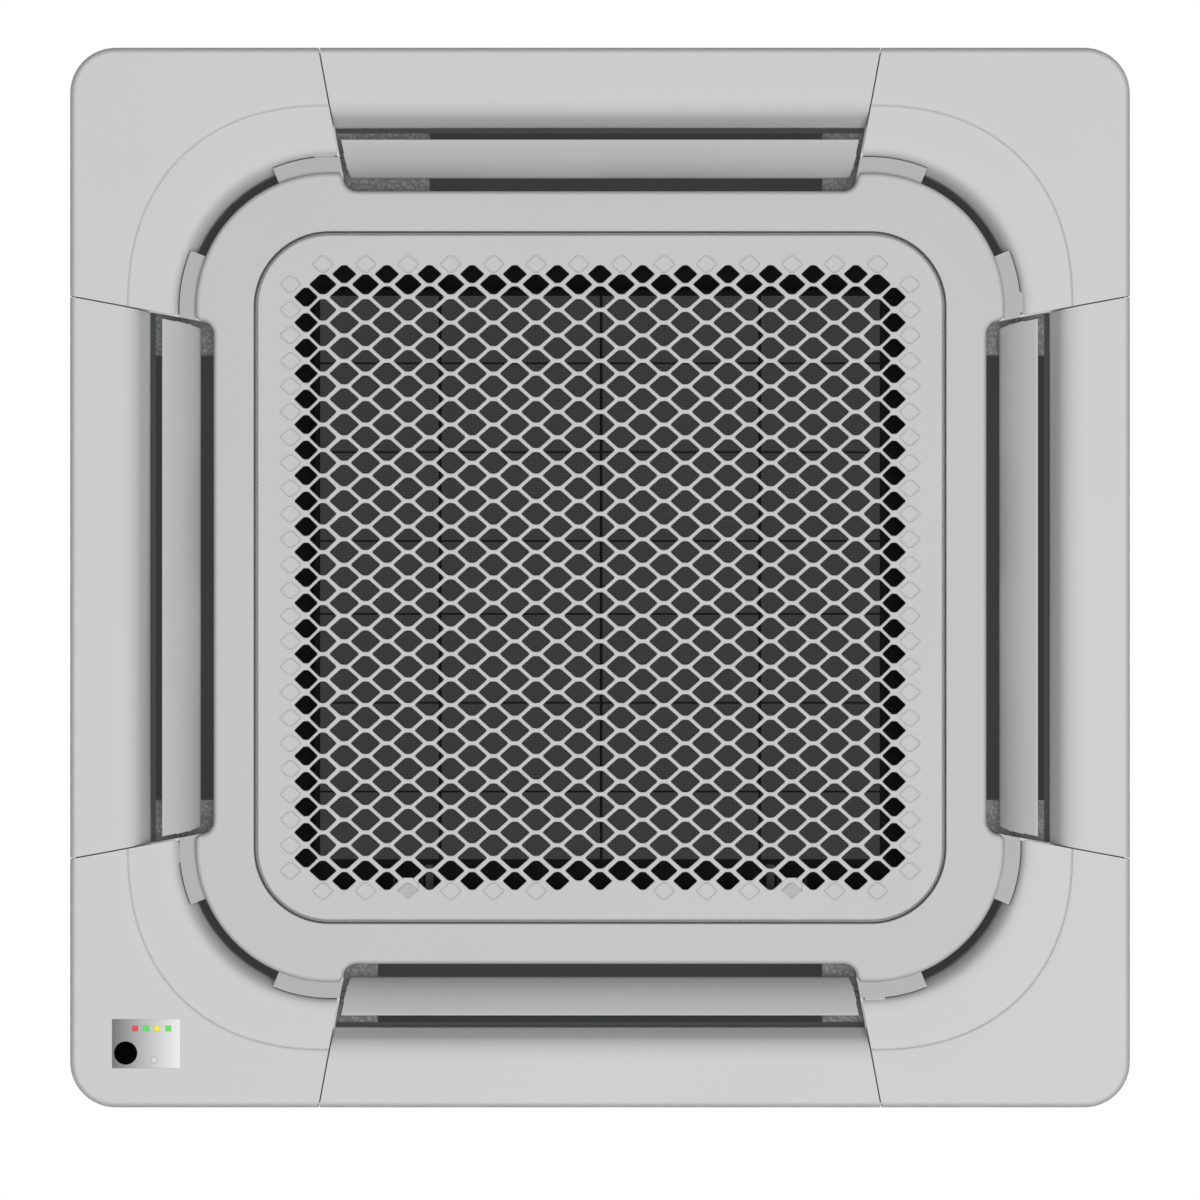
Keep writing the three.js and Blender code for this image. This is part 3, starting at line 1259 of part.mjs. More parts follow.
// The hose from the pump up to the outlet in the casing's wall.
function drainHose() {
  const x = -BODY_HALF + 40;
  const hose = bar(
    9,
    [
      [PUMP_AT - 15, PUMP_AT, 112 + CLEARANCE],
      [PUMP_AT - 15, PUMP_AT, 150],
      [PUMP_AT - 22, PUMP_AT + 8, 190],
      [PUMP_AT - 50, DRAIN_Y - 8, DRAIN_Z],
      [x - 4, DRAIN_Y, DRAIN_Z],
    ],
    9,
    8,
  );
  return cut(
    join(hose, rod(DRAIN_RADIUS, PIPE_END, x, DRAIN_Y, DRAIN_Z, 24)),
    rod(DRAIN_BORE, PIPE_END - 1, x - 8, DRAIN_Y, DRAIN_Z, 24),
  );
}

// The stem that guides the float, standing in the trough.
function floatGuide() {
  const top = FLOAT_Z + FLOAT_HEIGHT + FLOAT_TRAVEL + CLEARANCE;
  return join(
    post(5, TROUGH_Z + CLEARANCE, FLOAT_Z - CLEARANCE, FLOAT_X, FLOAT_Y),
    post(FLOAT_STEM, FLOAT_Z - 1, top + 1, FLOAT_X, FLOAT_Y),
    post(9, top, top + 14, FLOAT_X, FLOAT_Y),
  );
}

function switchFloat() {
  return cut(
    post(FLOAT_RADIUS, FLOAT_Z, FLOAT_Z + FLOAT_HEIGHT, FLOAT_X, FLOAT_Y),
    post(FLOAT_STEM + RUNNING, 0, 100, FLOAT_X, FLOAT_Y),
  );
}

// ---------------------------------------------------------------- control box

function controlBox() {
  const flange = BODY_BOTTOM - SKIN - 2 * CLEARANCE;
  const rim = BOX_HALF + BOX_FLANGE;
  const s = BOX_SHEET;
  return cut(
    join(
      box(-BOX_HALF, BOX_HALF, BOX_REAR, BOX_FRONT, BOX_BOTTOM, BOX_TOP),
      box(-rim, rim, BOX_REAR - BOX_FLANGE, BOX_FRONT + BOX_FLANGE, flange - s, flange),
    ),
    box(-BOX_HALF + s, BOX_HALF - s, BOX_REAR + s, BOX_FRONT - s, 0, BOX_TOP - s),
  );
}

// The board, with its transformer, capacitors and relays, on four pillars.
function controlBoard() {
  const z = BOX_BOARD_Z;
  const y0 = BOX_REAR + 8;
  const y1 = BOX_FRONT - 8;
  const x = BOX_HALF - 10;
  const pillar = (px, py) => post(3, z + 1, BOX_TOP - BOX_SHEET - CLEARANCE, px, py, 8);
  const bottom = z + 0.5;
  const relays = [130, 108, 86].map((inset) => block(BOX_HALF - inset + 8, y0 + 11, 8, 7, z - 14, bottom));
  return join(
    box(-x, x, y0, y1, z, z + BOARD_SKIN),
    pillar(-x + 6, y0 + 6),
    pillar(x - 6, y0 + 6),
    pillar(-x + 6, y1 - 6),
    pillar(x - 6, y1 - 6),
    block(48 - BOX_HALF, y0 + 25, 18, 17, z - 22, bottom),
    post(9, z - 24, bottom, 95 - BOX_HALF, y0 + 20),
    post(9, z - 24, bottom, 120 - BOX_HALF, y0 + 20),
    ...relays,
  );
}

function terminalBlock() {
  const z = BOX_BOARD_Z - CLEARANCE;
  const x = BOX_HALF - 36;
  const y = BOX_REAR + 24;
  const clamps = [-16, -5.5, 5, 15.5].map((along) => block(x + along, y, 4, 8, z - 18, z - 13));
  return join(block(x, y, 22, 12, z - 14, z), ...clamps);
}

function controlBoxCover() {
  const top = BOX_BOTTOM - CLEARANCE;
  const s = BOX_SHEET;
  const grip = box(-30, 30, BOX_REAR + 20, BOX_REAR + 50, top - s - 1.5, top - s + 0.2);
  return join(box(-BOX_HALF, BOX_HALF, BOX_REAR, BOX_FRONT, top - s, top), grip);
}

// ---------------------------------------------------------------- materials

const FINISHES = {
  white: { color: 0xe9eaea, roughness: 0.42, metalness: 0 },
  grille: { color: 0xdfe0e0, roughness: 0.45, metalness: 0 },
  blade: { color: 0xe2e3e3, roughness: 0.4, metalness: 0 },
  netting: { color: 0x3e4042, roughness: 0.9, metalness: 0 },
  smoke: { color: 0xb9bbbd, roughness: 0.15, metalness: 0 },
  lens: { color: 0x0c0c0e, roughness: 0.1, metalness: 0 },
  light: { color: 0x5fbf62, roughness: 0.3, metalness: 0 },
  zinc: { color: 0xb4b8ba, roughness: 0.45, metalness: 0.9 },
  foam: { color: 0x2b2d2f, roughness: 0.95, metalness: 0 },
  pan: { color: 0x3c3f42, roughness: 0.9, metalness: 0 },
  fan: { color: 0x54585b, roughness: 0.55, metalness: 0 },
  can: { color: 0x9ea2a4, roughness: 0.4, metalness: 0.8 },
  steel: { color: 0xc3c6c8, roughness: 0.3, metalness: 1 },
  copper: { color: 0xb4693f, roughness: 0.32, metalness: 1 },
  brass: { color: 0xc2a04e, roughness: 0.3, metalness: 1 },
  fins: { color: 0xbfc4c6, roughness: 0.5, metalness: 0.8 },
  plastic: { color: 0xc9cbcc, roughness: 0.5, metalness: 0 },
  dark: { color: 0x202224, roughness: 0.6, metalness: 0 },
  board: { color: 0x2f6b3f, roughness: 0.5, metalness: 0 },
};

const materials = Object.fromEntries(
  Object.entries(FINISHES).map(([name, finish]) => [name, new THREE.MeshStandardMaterial(finish)]),
);

// ---------------------------------------------------------------- assembly

const assembly = new THREE.Group();
assembly.name = "ceiling_cassette_air_conditioner";

function place(name, geometry, finish) {
  geometry.computeVertexNormals();
  const mesh = new THREE.Mesh(geometry, materials[finish]);
  mesh.name = name;
  assembly.add(mesh);
}

place("panel_frame", panelFrame(), "white");
const cover = cornerCover();
for (const [name, turn] of Object.entries(CORNERS)) {
  const geometry = rotated(cover, turn);
  place(`corner_cover_${name}`, name === "front_left" ? displayCover(geometry) : geometry, "white");
}
place("display_window", displayWindow(), "smoke");
place("display_board", displayBoard(), "board");
place("infrared_receiver", infraredReceiver(), "lens");
place("indicator_lights", indicatorLights(), "light");
place("manual_button", manualButton(), "white");
for (const [name, turn] of Object.entries(SIDES)) {
  place(`louver_${name}`, rotated(louver(), turn), "blade");
  place(`louver_motor_${name}`, rotated(louverMotor(), turn), "plastic");
}
place("intake_grille", intakeGrille(), "grille");
place("latch_left", latch(-LATCH_AT), "grille");
place("latch_right", latch(LATCH_AT), "grille");
place("air_filter", airFilter(), "netting");
place("panel_seal", panelSeal(), "foam");
place("side_casing", sideCasing(), "zinc");
place("top_plate", topPlate(), "zinc");
place("foam_liner", foamLiner(), "foam");
place("hanger_front_left", hangerBracket(-1, 1), "zinc");
place("hanger_front_right", hangerBracket(1, 1), "zinc");
place("hanger_rear_left", hangerBracket(-1, -1), "zinc");
place("hanger_rear_right", hangerBracket(1, -1), "zinc");
place("cable_gland", cableGland(), "dark");
place("motor_mount", motorMount(), "zinc");
place("fan_motor", fanMotor(), "can");
place("motor_shaft", motorShaft(), "steel");
place("turbo_fan", turboFan(), "fan");
place("fan_nut", fanNut(), "steel");
place("bellmouth", bellmouth(), "dark");
place("heat_exchanger", heatExchanger(), "fins");
place("coil_plate_inlet", coilPlate(false), "zinc");
place("coil_plate_return", returnPlate(), "copper");
place("gas_pipe", gasPipe(), "copper");
place("liquid_pipe", liquidPipe(), "copper");
place("flare_nut_gas", flareNut(GAS_RADIUS, GAS_Y, GAS_Z), "brass");
place("flare_nut_liquid", flareNut(LIQUID_RADIUS, LIQUID_Y, LIQUID_Z), "brass");
place("partition_plate", partitionPlate(), "zinc");
place("drain_pan", drainPan(), "pan");
place("drain_plug", drainPlug(), "dark");
place("drain_pump", drainPump(), "plastic");
place("pump_impeller", pumpImpeller(), "plastic");
place("drain_hose", drainHose(), "plastic");
place("float_guide", floatGuide(), "plastic");
place("float", switchFloat(), "dark");
place("control_box", controlBox(), "zinc");
place("control_board", controlBoard(), "board");
place("terminal_block", terminalBlock(), "dark");
place("control_box_cover", controlBoxCover(), "dark");

export default assembly;
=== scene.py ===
"""Looks of a four-way ceiling cassette air conditioner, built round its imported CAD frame.

Shapes are written in millimetres, as the CAD source's are, and turned into metres when a piece is made.
+Z is up, the ceiling plane is z = 0, and +Y is the side with the grille's latches.
"""

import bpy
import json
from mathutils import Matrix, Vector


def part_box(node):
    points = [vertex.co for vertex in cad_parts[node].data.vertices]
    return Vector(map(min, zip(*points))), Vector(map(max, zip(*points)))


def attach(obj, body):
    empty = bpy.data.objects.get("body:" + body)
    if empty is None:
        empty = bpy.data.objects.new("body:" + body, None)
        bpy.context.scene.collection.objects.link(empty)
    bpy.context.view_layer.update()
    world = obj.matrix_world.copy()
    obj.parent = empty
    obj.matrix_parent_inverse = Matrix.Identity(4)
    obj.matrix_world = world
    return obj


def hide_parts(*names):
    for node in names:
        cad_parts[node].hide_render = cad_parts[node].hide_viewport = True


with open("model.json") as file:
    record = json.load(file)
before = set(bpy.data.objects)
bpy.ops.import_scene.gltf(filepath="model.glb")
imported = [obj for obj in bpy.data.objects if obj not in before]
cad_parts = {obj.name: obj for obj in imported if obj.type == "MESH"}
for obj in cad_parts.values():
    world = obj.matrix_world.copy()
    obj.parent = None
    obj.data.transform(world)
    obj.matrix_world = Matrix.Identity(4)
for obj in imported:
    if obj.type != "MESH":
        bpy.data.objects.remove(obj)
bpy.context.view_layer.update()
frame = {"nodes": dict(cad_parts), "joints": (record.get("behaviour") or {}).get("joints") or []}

import json
import math

import bmesh
import bpy
from mathutils import Matrix, Vector
from mathutils.geometry import delaunay_2d_cdt

MM = 0.001

# ---- sizes, in millimetres


def low(node, axis):
    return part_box(node)[0][axis] / MM


def high(node, axis):
    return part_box(node)[1][axis] / MM


PANEL_HALF = high("panel_frame", 0)
PANEL_RADIUS = 41
EDGE_ROUND = 6.5  # how far the panel's edge rounds inwards, and up
EDGE_DROP = 14
DOOR_HALF = high("intake_grille", 0)
DOOR_RADIUS = 64
DOOR_GAP = 3.4
DOOR_EDGE = 2
INTAKE_HALF = 300
SLOT_INNER = 345.7
SLOT_OUTER = 404.5
SLOT_HALF_AT_EDGE = 251.3
SLOT_SLANT = 0.185
SLOT_CORNER = 12
ARC_CENTRE = 241
CORNER_START = 340
RING_ARC = 121
RING_EDGE = 4.5  # how far the ring rounds inwards along the outlets, and up
RING_DROP = 8.5
MOUTH_EDGE = 1.2  # and round the grille
ARC_SLOT_WIDTH = 10
ARC_SLOT_HALF_ANGLE = 22.5
PAD_WIDTH = 14.5
CREASE_ARC = 181.6
CREASE_POWER = 2.32
CREASE_RAMP = 11
CREASE_CURVE = [(-1.2, 0), (-0.3, 1.1), (0.6, -0.75), (1.2, -1.15), (3, -1.45), (5.5, -1.75), (8.5, -1.94)]
COVE_ARC = 155.6
COVE_START = RING_ARC + ARC_SLOT_WIDTH
COVE = [(131.6, -6), (132.6, -10), (134, -14.5), (135.6, -18.7), (137.3, -22), (139.2, -24.8)]
COVE += [(141.3, -26.8), (144, -28.2), (147.5, -29.2), (151.5, -29.8)]
COVE_BACK = [(146, -25.5), (141.5, -21), (138, -15.5), (135.2, -8.5)]
PARTING = 1.2

CLEARANCE = 0.3
FACE_Z = -32
CREASE_STEP = 2
RING_Z = -38
DOOR_Z = low("intake_grille", 2)
PAD_Z = -26.5
PAD_SKIN = 1.5
SKIN = 2.5
COLLAR_TOP = high("panel_frame", 2)
SHELF_Z = -9
PAST = 60  # how far cutters reach past the panel, up and down

ROLL_START = 436
ROLL_RADIUS = 27
ROLL_ANGLE = 64

LOUVER_AXIS_U = 374
LOUVER_AXIS_Z = -17
LOUVER_CHORD = 52
LOUVER_TURN = 37
LOUVER_SKIN = 2.6
LOUVER_TILT = 50
LOUVER_HALF_OUTER = 232.4
LOUVER_HALF_INNER = 225
LOUVER_CORNER = 9
LOUVER_CURL = 6  # how wide the inner edge's curl is
LOUVER_CURL_RISE = 2.6
LOUVER_END = ((0, 0.45), (0.35, 0.8), (1.1, 1))  # how its ends round off, as (inset, share of its skin)
LOUVER_RIB_INSET = 6.5
LOUVER_RIB = 3
PIN_SHOWS = 3.2  # where the pins start, from the outlet's end
PIN_RADIUS = 3

CELL_X = 38.1  # pitch of the lattice's openings
CELL_Y = 22.78
CELL_HALF_X = 12.8
CELL_HALF_Y = 9.5
CELL_QUARTER = [(CELL_HALF_X, 0), (12.35, 0.85), (4.4, 7.95), (3.2, 8.95), (1.7, 9.4), (0, CELL_HALF_Y)]
OUTER_CELL_HALF_X = 11.7  # openings in the outermost columns and rows
OUTER_CELL_HALF_Y = 8.8
END_CELL_Y = 271.1  # the rows of smaller openings outside those
END_CELL_HALVES = (10.4, 7.9)
SIDE_CELL_X = 262.7
SIDE_CELL_HALVES = (10.2, 8.3)
CELL_COLUMNS = 14
CELL_ROWS = 24
DOOR_SKIN = 2.5
DOOR_WALL = 2
DOOR_WALL_TOP = -12
BOSS_HALF_X = 8.8  # the embossed diamonds round the lattice
BOSS_HALF_Y = 6.9
BOSS_X = 276.7
BOSS_Y = 280
HINGE_AT = 200
HINGE_LUG = 6
HINGE_PIN_RADIUS = 0.8
LUG_HALF = 5
LUG_RADIUS = 1.7
LUG_BORE = 1.1
LATCH_AT = 171.5
LATCH_Y = 280
LATCH_TRAVEL = 6.5
LATCH_HALF = 11
LATCH_SKIN = 2
LATCH_BACK = 268.5  # where the plate behind its knob starts
LATCH_FRONT = 299
TONGUE_HALF = 6
TONGUE_START = 298
GUIDE_WALL = 2
GUIDE_SPAN = (262, 300)
BRIDGE_SPAN = (286, 294)
KNOB_HALF_X = 8.75
KNOB_HALF_Y = 6.75

FILTER_HALF_X = high("air_filter", 0)
FILTER_HALF_Y = high("air_filter", 1)
FILTER_BOTTOM = low("air_filter", 2)
FILTER_TOP = high("air_filter", 2)
FILTER_RIM = 5
FILTER_RIB = 2.4
FILTER_SLIM_RIB = 1.5
FILTER_RIB_X = 142.8
FILTER_RIB_Y = 32.5
FILTER_RIB_PITCH = 79.5

DISPLAY_X = -406
DISPLAY_Y = 417
DISPLAY_WIDTH = 61
DISPLAY_HEIGHT = 44
DISPLAY_SKIN = 1.2
DISPLAY_BOARD_Z = -22.3
PANE_GAP = 0.06
RECEIVER_X = -424.4
RECEIVER_Y = 425.4
RECEIVER_RADIUS = 10.2
LIGHT_Y = 403.4
LIGHT_X = -415.8
LIGHT_PITCH = 9.9
LIGHT_SIZE = 5
BUTTON_X = -398.7
BUTTON_Y = 431.7
BUTTON_RADIUS = 3

TURNS = {"front": 0, "left": 90, "rear": 180, "right": 270}
CORNERS = {"front_right": 0, "front_left": 90, "rear_left": 180, "rear_right": 270}

# ---- meshes


def solid(points, faces):
    mesh = bpy.data.meshes.new("solid")
    mesh.from_pydata([tuple(p) for p in points], [], faces)
    return mesh


def loft(loops):
    """A closed solid through loops of [x, y, z] points, all of one length."""
    count = len(loops[0])
    faces = [list(range(count))[::-1]]
    for level in range(len(loops) - 1):
        base = level * count
        for i in range(count):
            j = (i + 1) % count
            faces.append([base + i, base + j, base + count + j, base + count + i])
    last = count * (len(loops) - 1)
    faces.append([last + i for i in range(count)])
    return facing_out(solid([p for loop in loops for p in loop], faces))


def facing_out(mesh):
    """Turns a closed mesh the right way out."""
    mesh.calc_loop_triangles()
    corners = [[mesh.vertices[i].co for i in t.vertices] for t in mesh.loop_triangles]
    volume = sum(a.dot(b.cross(c)) for a, b, c in corners)
    if volume < 0:
        mesh.flip_normals()
    return mesh


def inside(point, outline):
    x, y = point
    hit = False
    for (x0, y0), (x1, y1) in zip(outline, outline[1:] + outline[:1]):
        if (y0 > y) != (y1 > y) and x < x0 + (y - y0) * (x1 - x0) / (y1 - y0):
            hit = not hit
    return hit


def triangles(outer, holes):
    """Triangles of a flat outline with holes, over the outlines' points in their order."""
    loops = [outer, *holes]
    points = [Vector(p) for loop in loops for p in loop]
    owner = [k for k, loop in enumerate(loops) for _ in loop]
    edges, start = [], 0
    for loop in loops:
        edges += [(start + i, start + (i + 1) % len(loop)) for i in range(len(loop))]
        start += len(loop)
    _, _, faces, ids, _, _ = delaunay_2d_cdt(points, edges, [], 0, 1e-5, True)
    original = [found[0] for found in ids]
    kept = []
    for face in faces:
        a, b, c = (original[i] for i in face)
        centre = (points[a] + points[b] + points[c]) / 3
        mixed = len({owner[a], owner[b], owner[c]}) > 1
        if mixed or inside(centre, loops[owner[a]]) == (owner[a] == 0):
            kept.append((a, b, c))
    return kept


def plate(outer, through=(), blind=()):
    """A closed plate. Each stack is a list of (outline, z), from the room side round to the back.
    The outer stack bounds it, a stack in through goes right through it, and one in blind ends in a floor."""
    points, faces = [], []

    def stack(layers):
        starts = []
        for outline, z in layers:
            starts.append(len(points))
            points.extend((x, y, z) for x, y in outline)
        count = len(layers[0][0])
        for a, b in zip(starts, starts[1:]):
            for i in range(count):
                j = (i + 1) % count
                faces.append([a + i, a + j, b + j, b + i])
        return starts[0], starts[-1], count

    def cap(spans, outlines, up):
        index = [start + i for start, count in spans for i in range(count)]
        for a, b, c in triangles(outlines[0], outlines[1:]):
            faces.append([index[a], index[b], index[c]] if up else [index[a], index[c], index[b]])

    edge = stack(outer)
    holes = [stack(layers) for layers in through]
    dents = [stack(layers) for layers in blind]
    cap(
        [(s, n) for s, _, n in [edge, *holes, *dents]],
        [outer[0][0], *[h[0][0] for h in through], *[d[0][0] for d in blind]],
        False,
    )
    cap([(e, n) for _, e, n in [edge, *holes]], [outer[-1][0], *[h[-1][0] for h in through]], True)
    for _, end, count in dents:
        faces.append([end + i for i in range(count)][::-1])
    return consistent(solid(points, faces))


def consistent(mesh):
    bm = bmesh.new()
    bm.from_mesh(mesh)
    bmesh.ops.recalc_face_normals(bm, faces=bm.faces)
    bm.to_mesh(mesh)
    bm.free()
    return facing_out(mesh)


def prism(outline, bottom, top, holes=()):
    return plate([(outline, bottom), (outline, top)], [[(h, bottom), (h, top)] for h in holes])


def box(x0, x1, y0, y1, z0, z1):
    return loft([[(x0, y0, z), (x1, y0, z), (x1, y1, z), (x0, y1, z)] for z in (z0, z1)])


def lathe(profile, steps, x=0.0, y=0.0):
    """A closed body of revolution about an upright line, from a closed profile of [radius, z] points."""
    points, faces, count = [], [], len(profile)
    for k in range(steps):
        a = 2 * math.pi * k / steps
        points += [(x + r * math.cos(a), y + r * math.sin(a), z) for r, z in profile]
    for k in range(steps):
        for i in range(count):
            j, n = (i + 1) % count, (k + 1) % steps
            faces.append([k * count + i, k * count + j, n * count + j, n * count + i])
    return consistent(merged(solid(points, faces)))


def merged(mesh):
    bm = bmesh.new()
    bm.from_mesh(mesh)
    bmesh.ops.remove_doubles(bm, verts=bm.verts, dist=1e-4)
    bmesh.ops.dissolve_degenerate(bm, edges=bm.edges, dist=1e-5)
    bm.to_mesh(mesh)
    bm.free()
    return mesh


def post(radius, bottom, top, x=0.0, y=0.0, steps=32):
    return prism(circle(x, y, radius, steps), bottom, top)


def rod(radius, x0, x1, y, z, steps=24):
    """A rod along X."""
    return loft([[(x, py, pz) for py, pz in circle(y, z, radius, steps)] for x in (x0, x1)])


def moved(mesh, degrees=0.0, offset=(0, 0, 0)):
    copy = mesh.copy()
    copy.transform(Matrix.Translation(offset) @ Matrix.Rotation(math.radians(degrees), 4, "Z"))
    return copy


def all_round(mesh):
    """A mesh's copies on the four sides."""
    return [moved(mesh, turn) for turn in TURNS.values()]


def combine(base, *steps):
    """Booleans in a row: each step is (operation, mesh), with UNION, DIFFERENCE or INTERSECT."""
    objects = [bpy.data.objects.new("part", mesh) for mesh in [base, *[tool for _, tool in steps]]]
    for o in objects:
        bpy.context.scene.collection.objects.link(o)
    for (operation, _), tool in zip(steps, objects[1:]):
        modifier = objects[0].modifiers.new("step", "BOOLEAN")
        modifier.operation, modifier.object, modifier.solver = operation, tool, "MANIFOLD"
    bpy.context.view_layer.update()
    result = bpy.data.meshes.new_from_object(objects[0].evaluated_get(bpy.context.evaluated_depsgraph_get()))
    for o in objects:
        bpy.data.objects.remove(o)
    return result


def union(*meshes):
    return combine(meshes[0], *[("UNION", mesh) for mesh in meshes[1:]])


def cut(base, *tools):
    return combine(base, *[("DIFFERENCE", tool) for tool in tools])


def common(a, b):
    return combine(a, ("INTERSECT", b))


def gathered(*meshes):
    """Several closed solids in one mesh."""
    points, faces = [], []
    for mesh in meshes:
        start = len(points)
        points += [tuple(v.co) for v in mesh.vertices]
        faces += [[start + i for i in p.vertices] for p in mesh.polygons]
    return solid(points, faces)


def paint(made, numbers):
    """Gives each face one of its piece's materials, by number."""
    for polygon, number in zip(made.data.polygons, numbers):
        polygon.material_index = int(number)


def soften(o, angle, bevel=0.0):
    """Smooth faces between sharp edges, with a bevel on those edges where one is given."""
    o.data.shade_smooth()
    o.data.set_sharp_from_angle(angle=math.radians(angle))
    if bevel:
        edges = o.modifiers.new("edges", "BEVEL")
        edges.width, edges.segments, edges.limit_method = bevel * MM, 2, "ANGLE"
    normals = o.modifiers.new("normals", "WEIGHTED_NORMAL")
    normals.weight, normals.keep_sharp = 100, True


def piece(name, body, slot, finish, mesh, *nodes, smooth=35.0):
    """Makes a piece of the scene from a mesh in millimetres, in place of CAD nodes."""
    mesh.transform(Matrix.Scale(MM, 4))
    mesh.name = name
    made = bpy.data.objects.new(name, mesh)
    bpy.context.scene.collection.objects.link(made)
    mesh.materials.clear()
    for m in finish if isinstance(finish, (list, tuple)) else [finish]:
        mesh.materials.append(m)
    soften(made, smooth)
    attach(made, body)
    if nodes:
        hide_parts(*nodes)
    return made


# ---- outlines


def arc(x, y, radius, start, end, steps):
    angles = [math.radians(start + (end - start) * i / steps) for i in range(steps + 1)]
    return [(x + radius * math.cos(a), y + radius * math.sin(a)) for a in angles]


def circle(x, y, radius, steps):
    return arc(x, y, radius, 0, 360, steps)[:-1]


def rounded_rectangle(x, y, w, h, r, steps=5):
    return [
        *arc(x + w - r, y + h - r, r, 0, 90, steps),
        *arc(x - w + r, y + h - r, r, 90, 180, steps),
        *arc(x - w + r, y - h + r, r, 180, 270, steps),
        *arc(x + w - r, y - h + r, r, 270, 360, steps),
    ]


def rounded_square(half, radius, steps=20):
    return rounded_rectangle(0, 0, half, half, radius, steps)


def ribbon(line, thickness):
    """A line's copy moved to its left, in the opposite order."""
    side = []
    for i, p in enumerate(line):
        before, after = line[max(i - 1, 0)], line[min(i + 1, len(line) - 1)]
        dx, dy = after[0] - before[0], after[1] - before[1]
        length = math.hypot(dx, dy)
        side.append((p[0] - dy * thickness / length, p[1] + dx * thickness / length))
    return side[::-1]


def side_half(y, margin=0.0):
    """Half length of the front side section at y."""
    return SLOT_HALF_AT_EDGE - (PANEL_HALF - y) * SLOT_SLANT - margin


def slot_outline(margin=0.0, steps=8):
    """The front outlet, with its two inner corners rounded."""
    half = side_half(SLOT_INNER + SLOT_CORNER, margin)
    r, inner = SLOT_CORNER - margin, SLOT_INNER + margin
    outer = SLOT_OUTER - margin
    return [
        *arc(-half + r, inner + r, r, 180, 270, steps),
        *arc(half - r, inner + r, r, 270, 360, steps),
        (side_half(SLOT_OUTER, margin), outer),
        (-side_half(SLOT_OUTER, margin), outer),
    ]


def sector(inner, outer, start, end, steps=24):
    """A sector of a ring about the front right arc's centre."""
    c = ARC_CENTRE
    return [*arc(c, c, outer, start, end, steps), *arc(c, c, inner, end, start, steps)]


def arc_slot():
    middle, half = 45, ARC_SLOT_HALF_ANGLE
    return sector(RING_ARC, RING_ARC + ARC_SLOT_WIDTH, middle - half, middle + half)


def corner_outline(gap, inset):
    """The front right corner between two side sections: a gap from them, an inset from the panel's edge."""
    c, start = PANEL_HALF - PANEL_RADIUS, CORNER_START
    return [
        (side_half(start, -gap), start),
        (ARC_CENTRE, ARC_CENTRE),
        (start, side_half(start, -gap)),
        (PANEL_HALF - inset, side_half(PANEL_HALF - inset, -gap)),
        *arc(c, c, PANEL_RADIUS - inset, 0, 90, 24),
        (side_half(PANEL_HALF - inset, -gap), PANEL_HALF - inset),
    ]


def rounding(radius, steps):
    """Steps round a quarter circle, as (inset, rise) from the face to the side."""
    quarter = [math.radians(90 * i / steps) for i in range(steps + 1)]
    return [(radius * (1 - math.sin(a)), radius * (1 - math.cos(a))) for a in quarter]


def rounded_edge(outline, face, radius, steps, drop=None):
    """Layers of a round edge from the face up, for an outline that is a function of its inset."""
    stretch = (drop or radius) / radius
    return [(outline(inset), face + rise * stretch) for inset, rise in rounding(radius, steps)]


# ---- materials


FOAM_GLOW = 0.036  # the faint light deep in the outlets


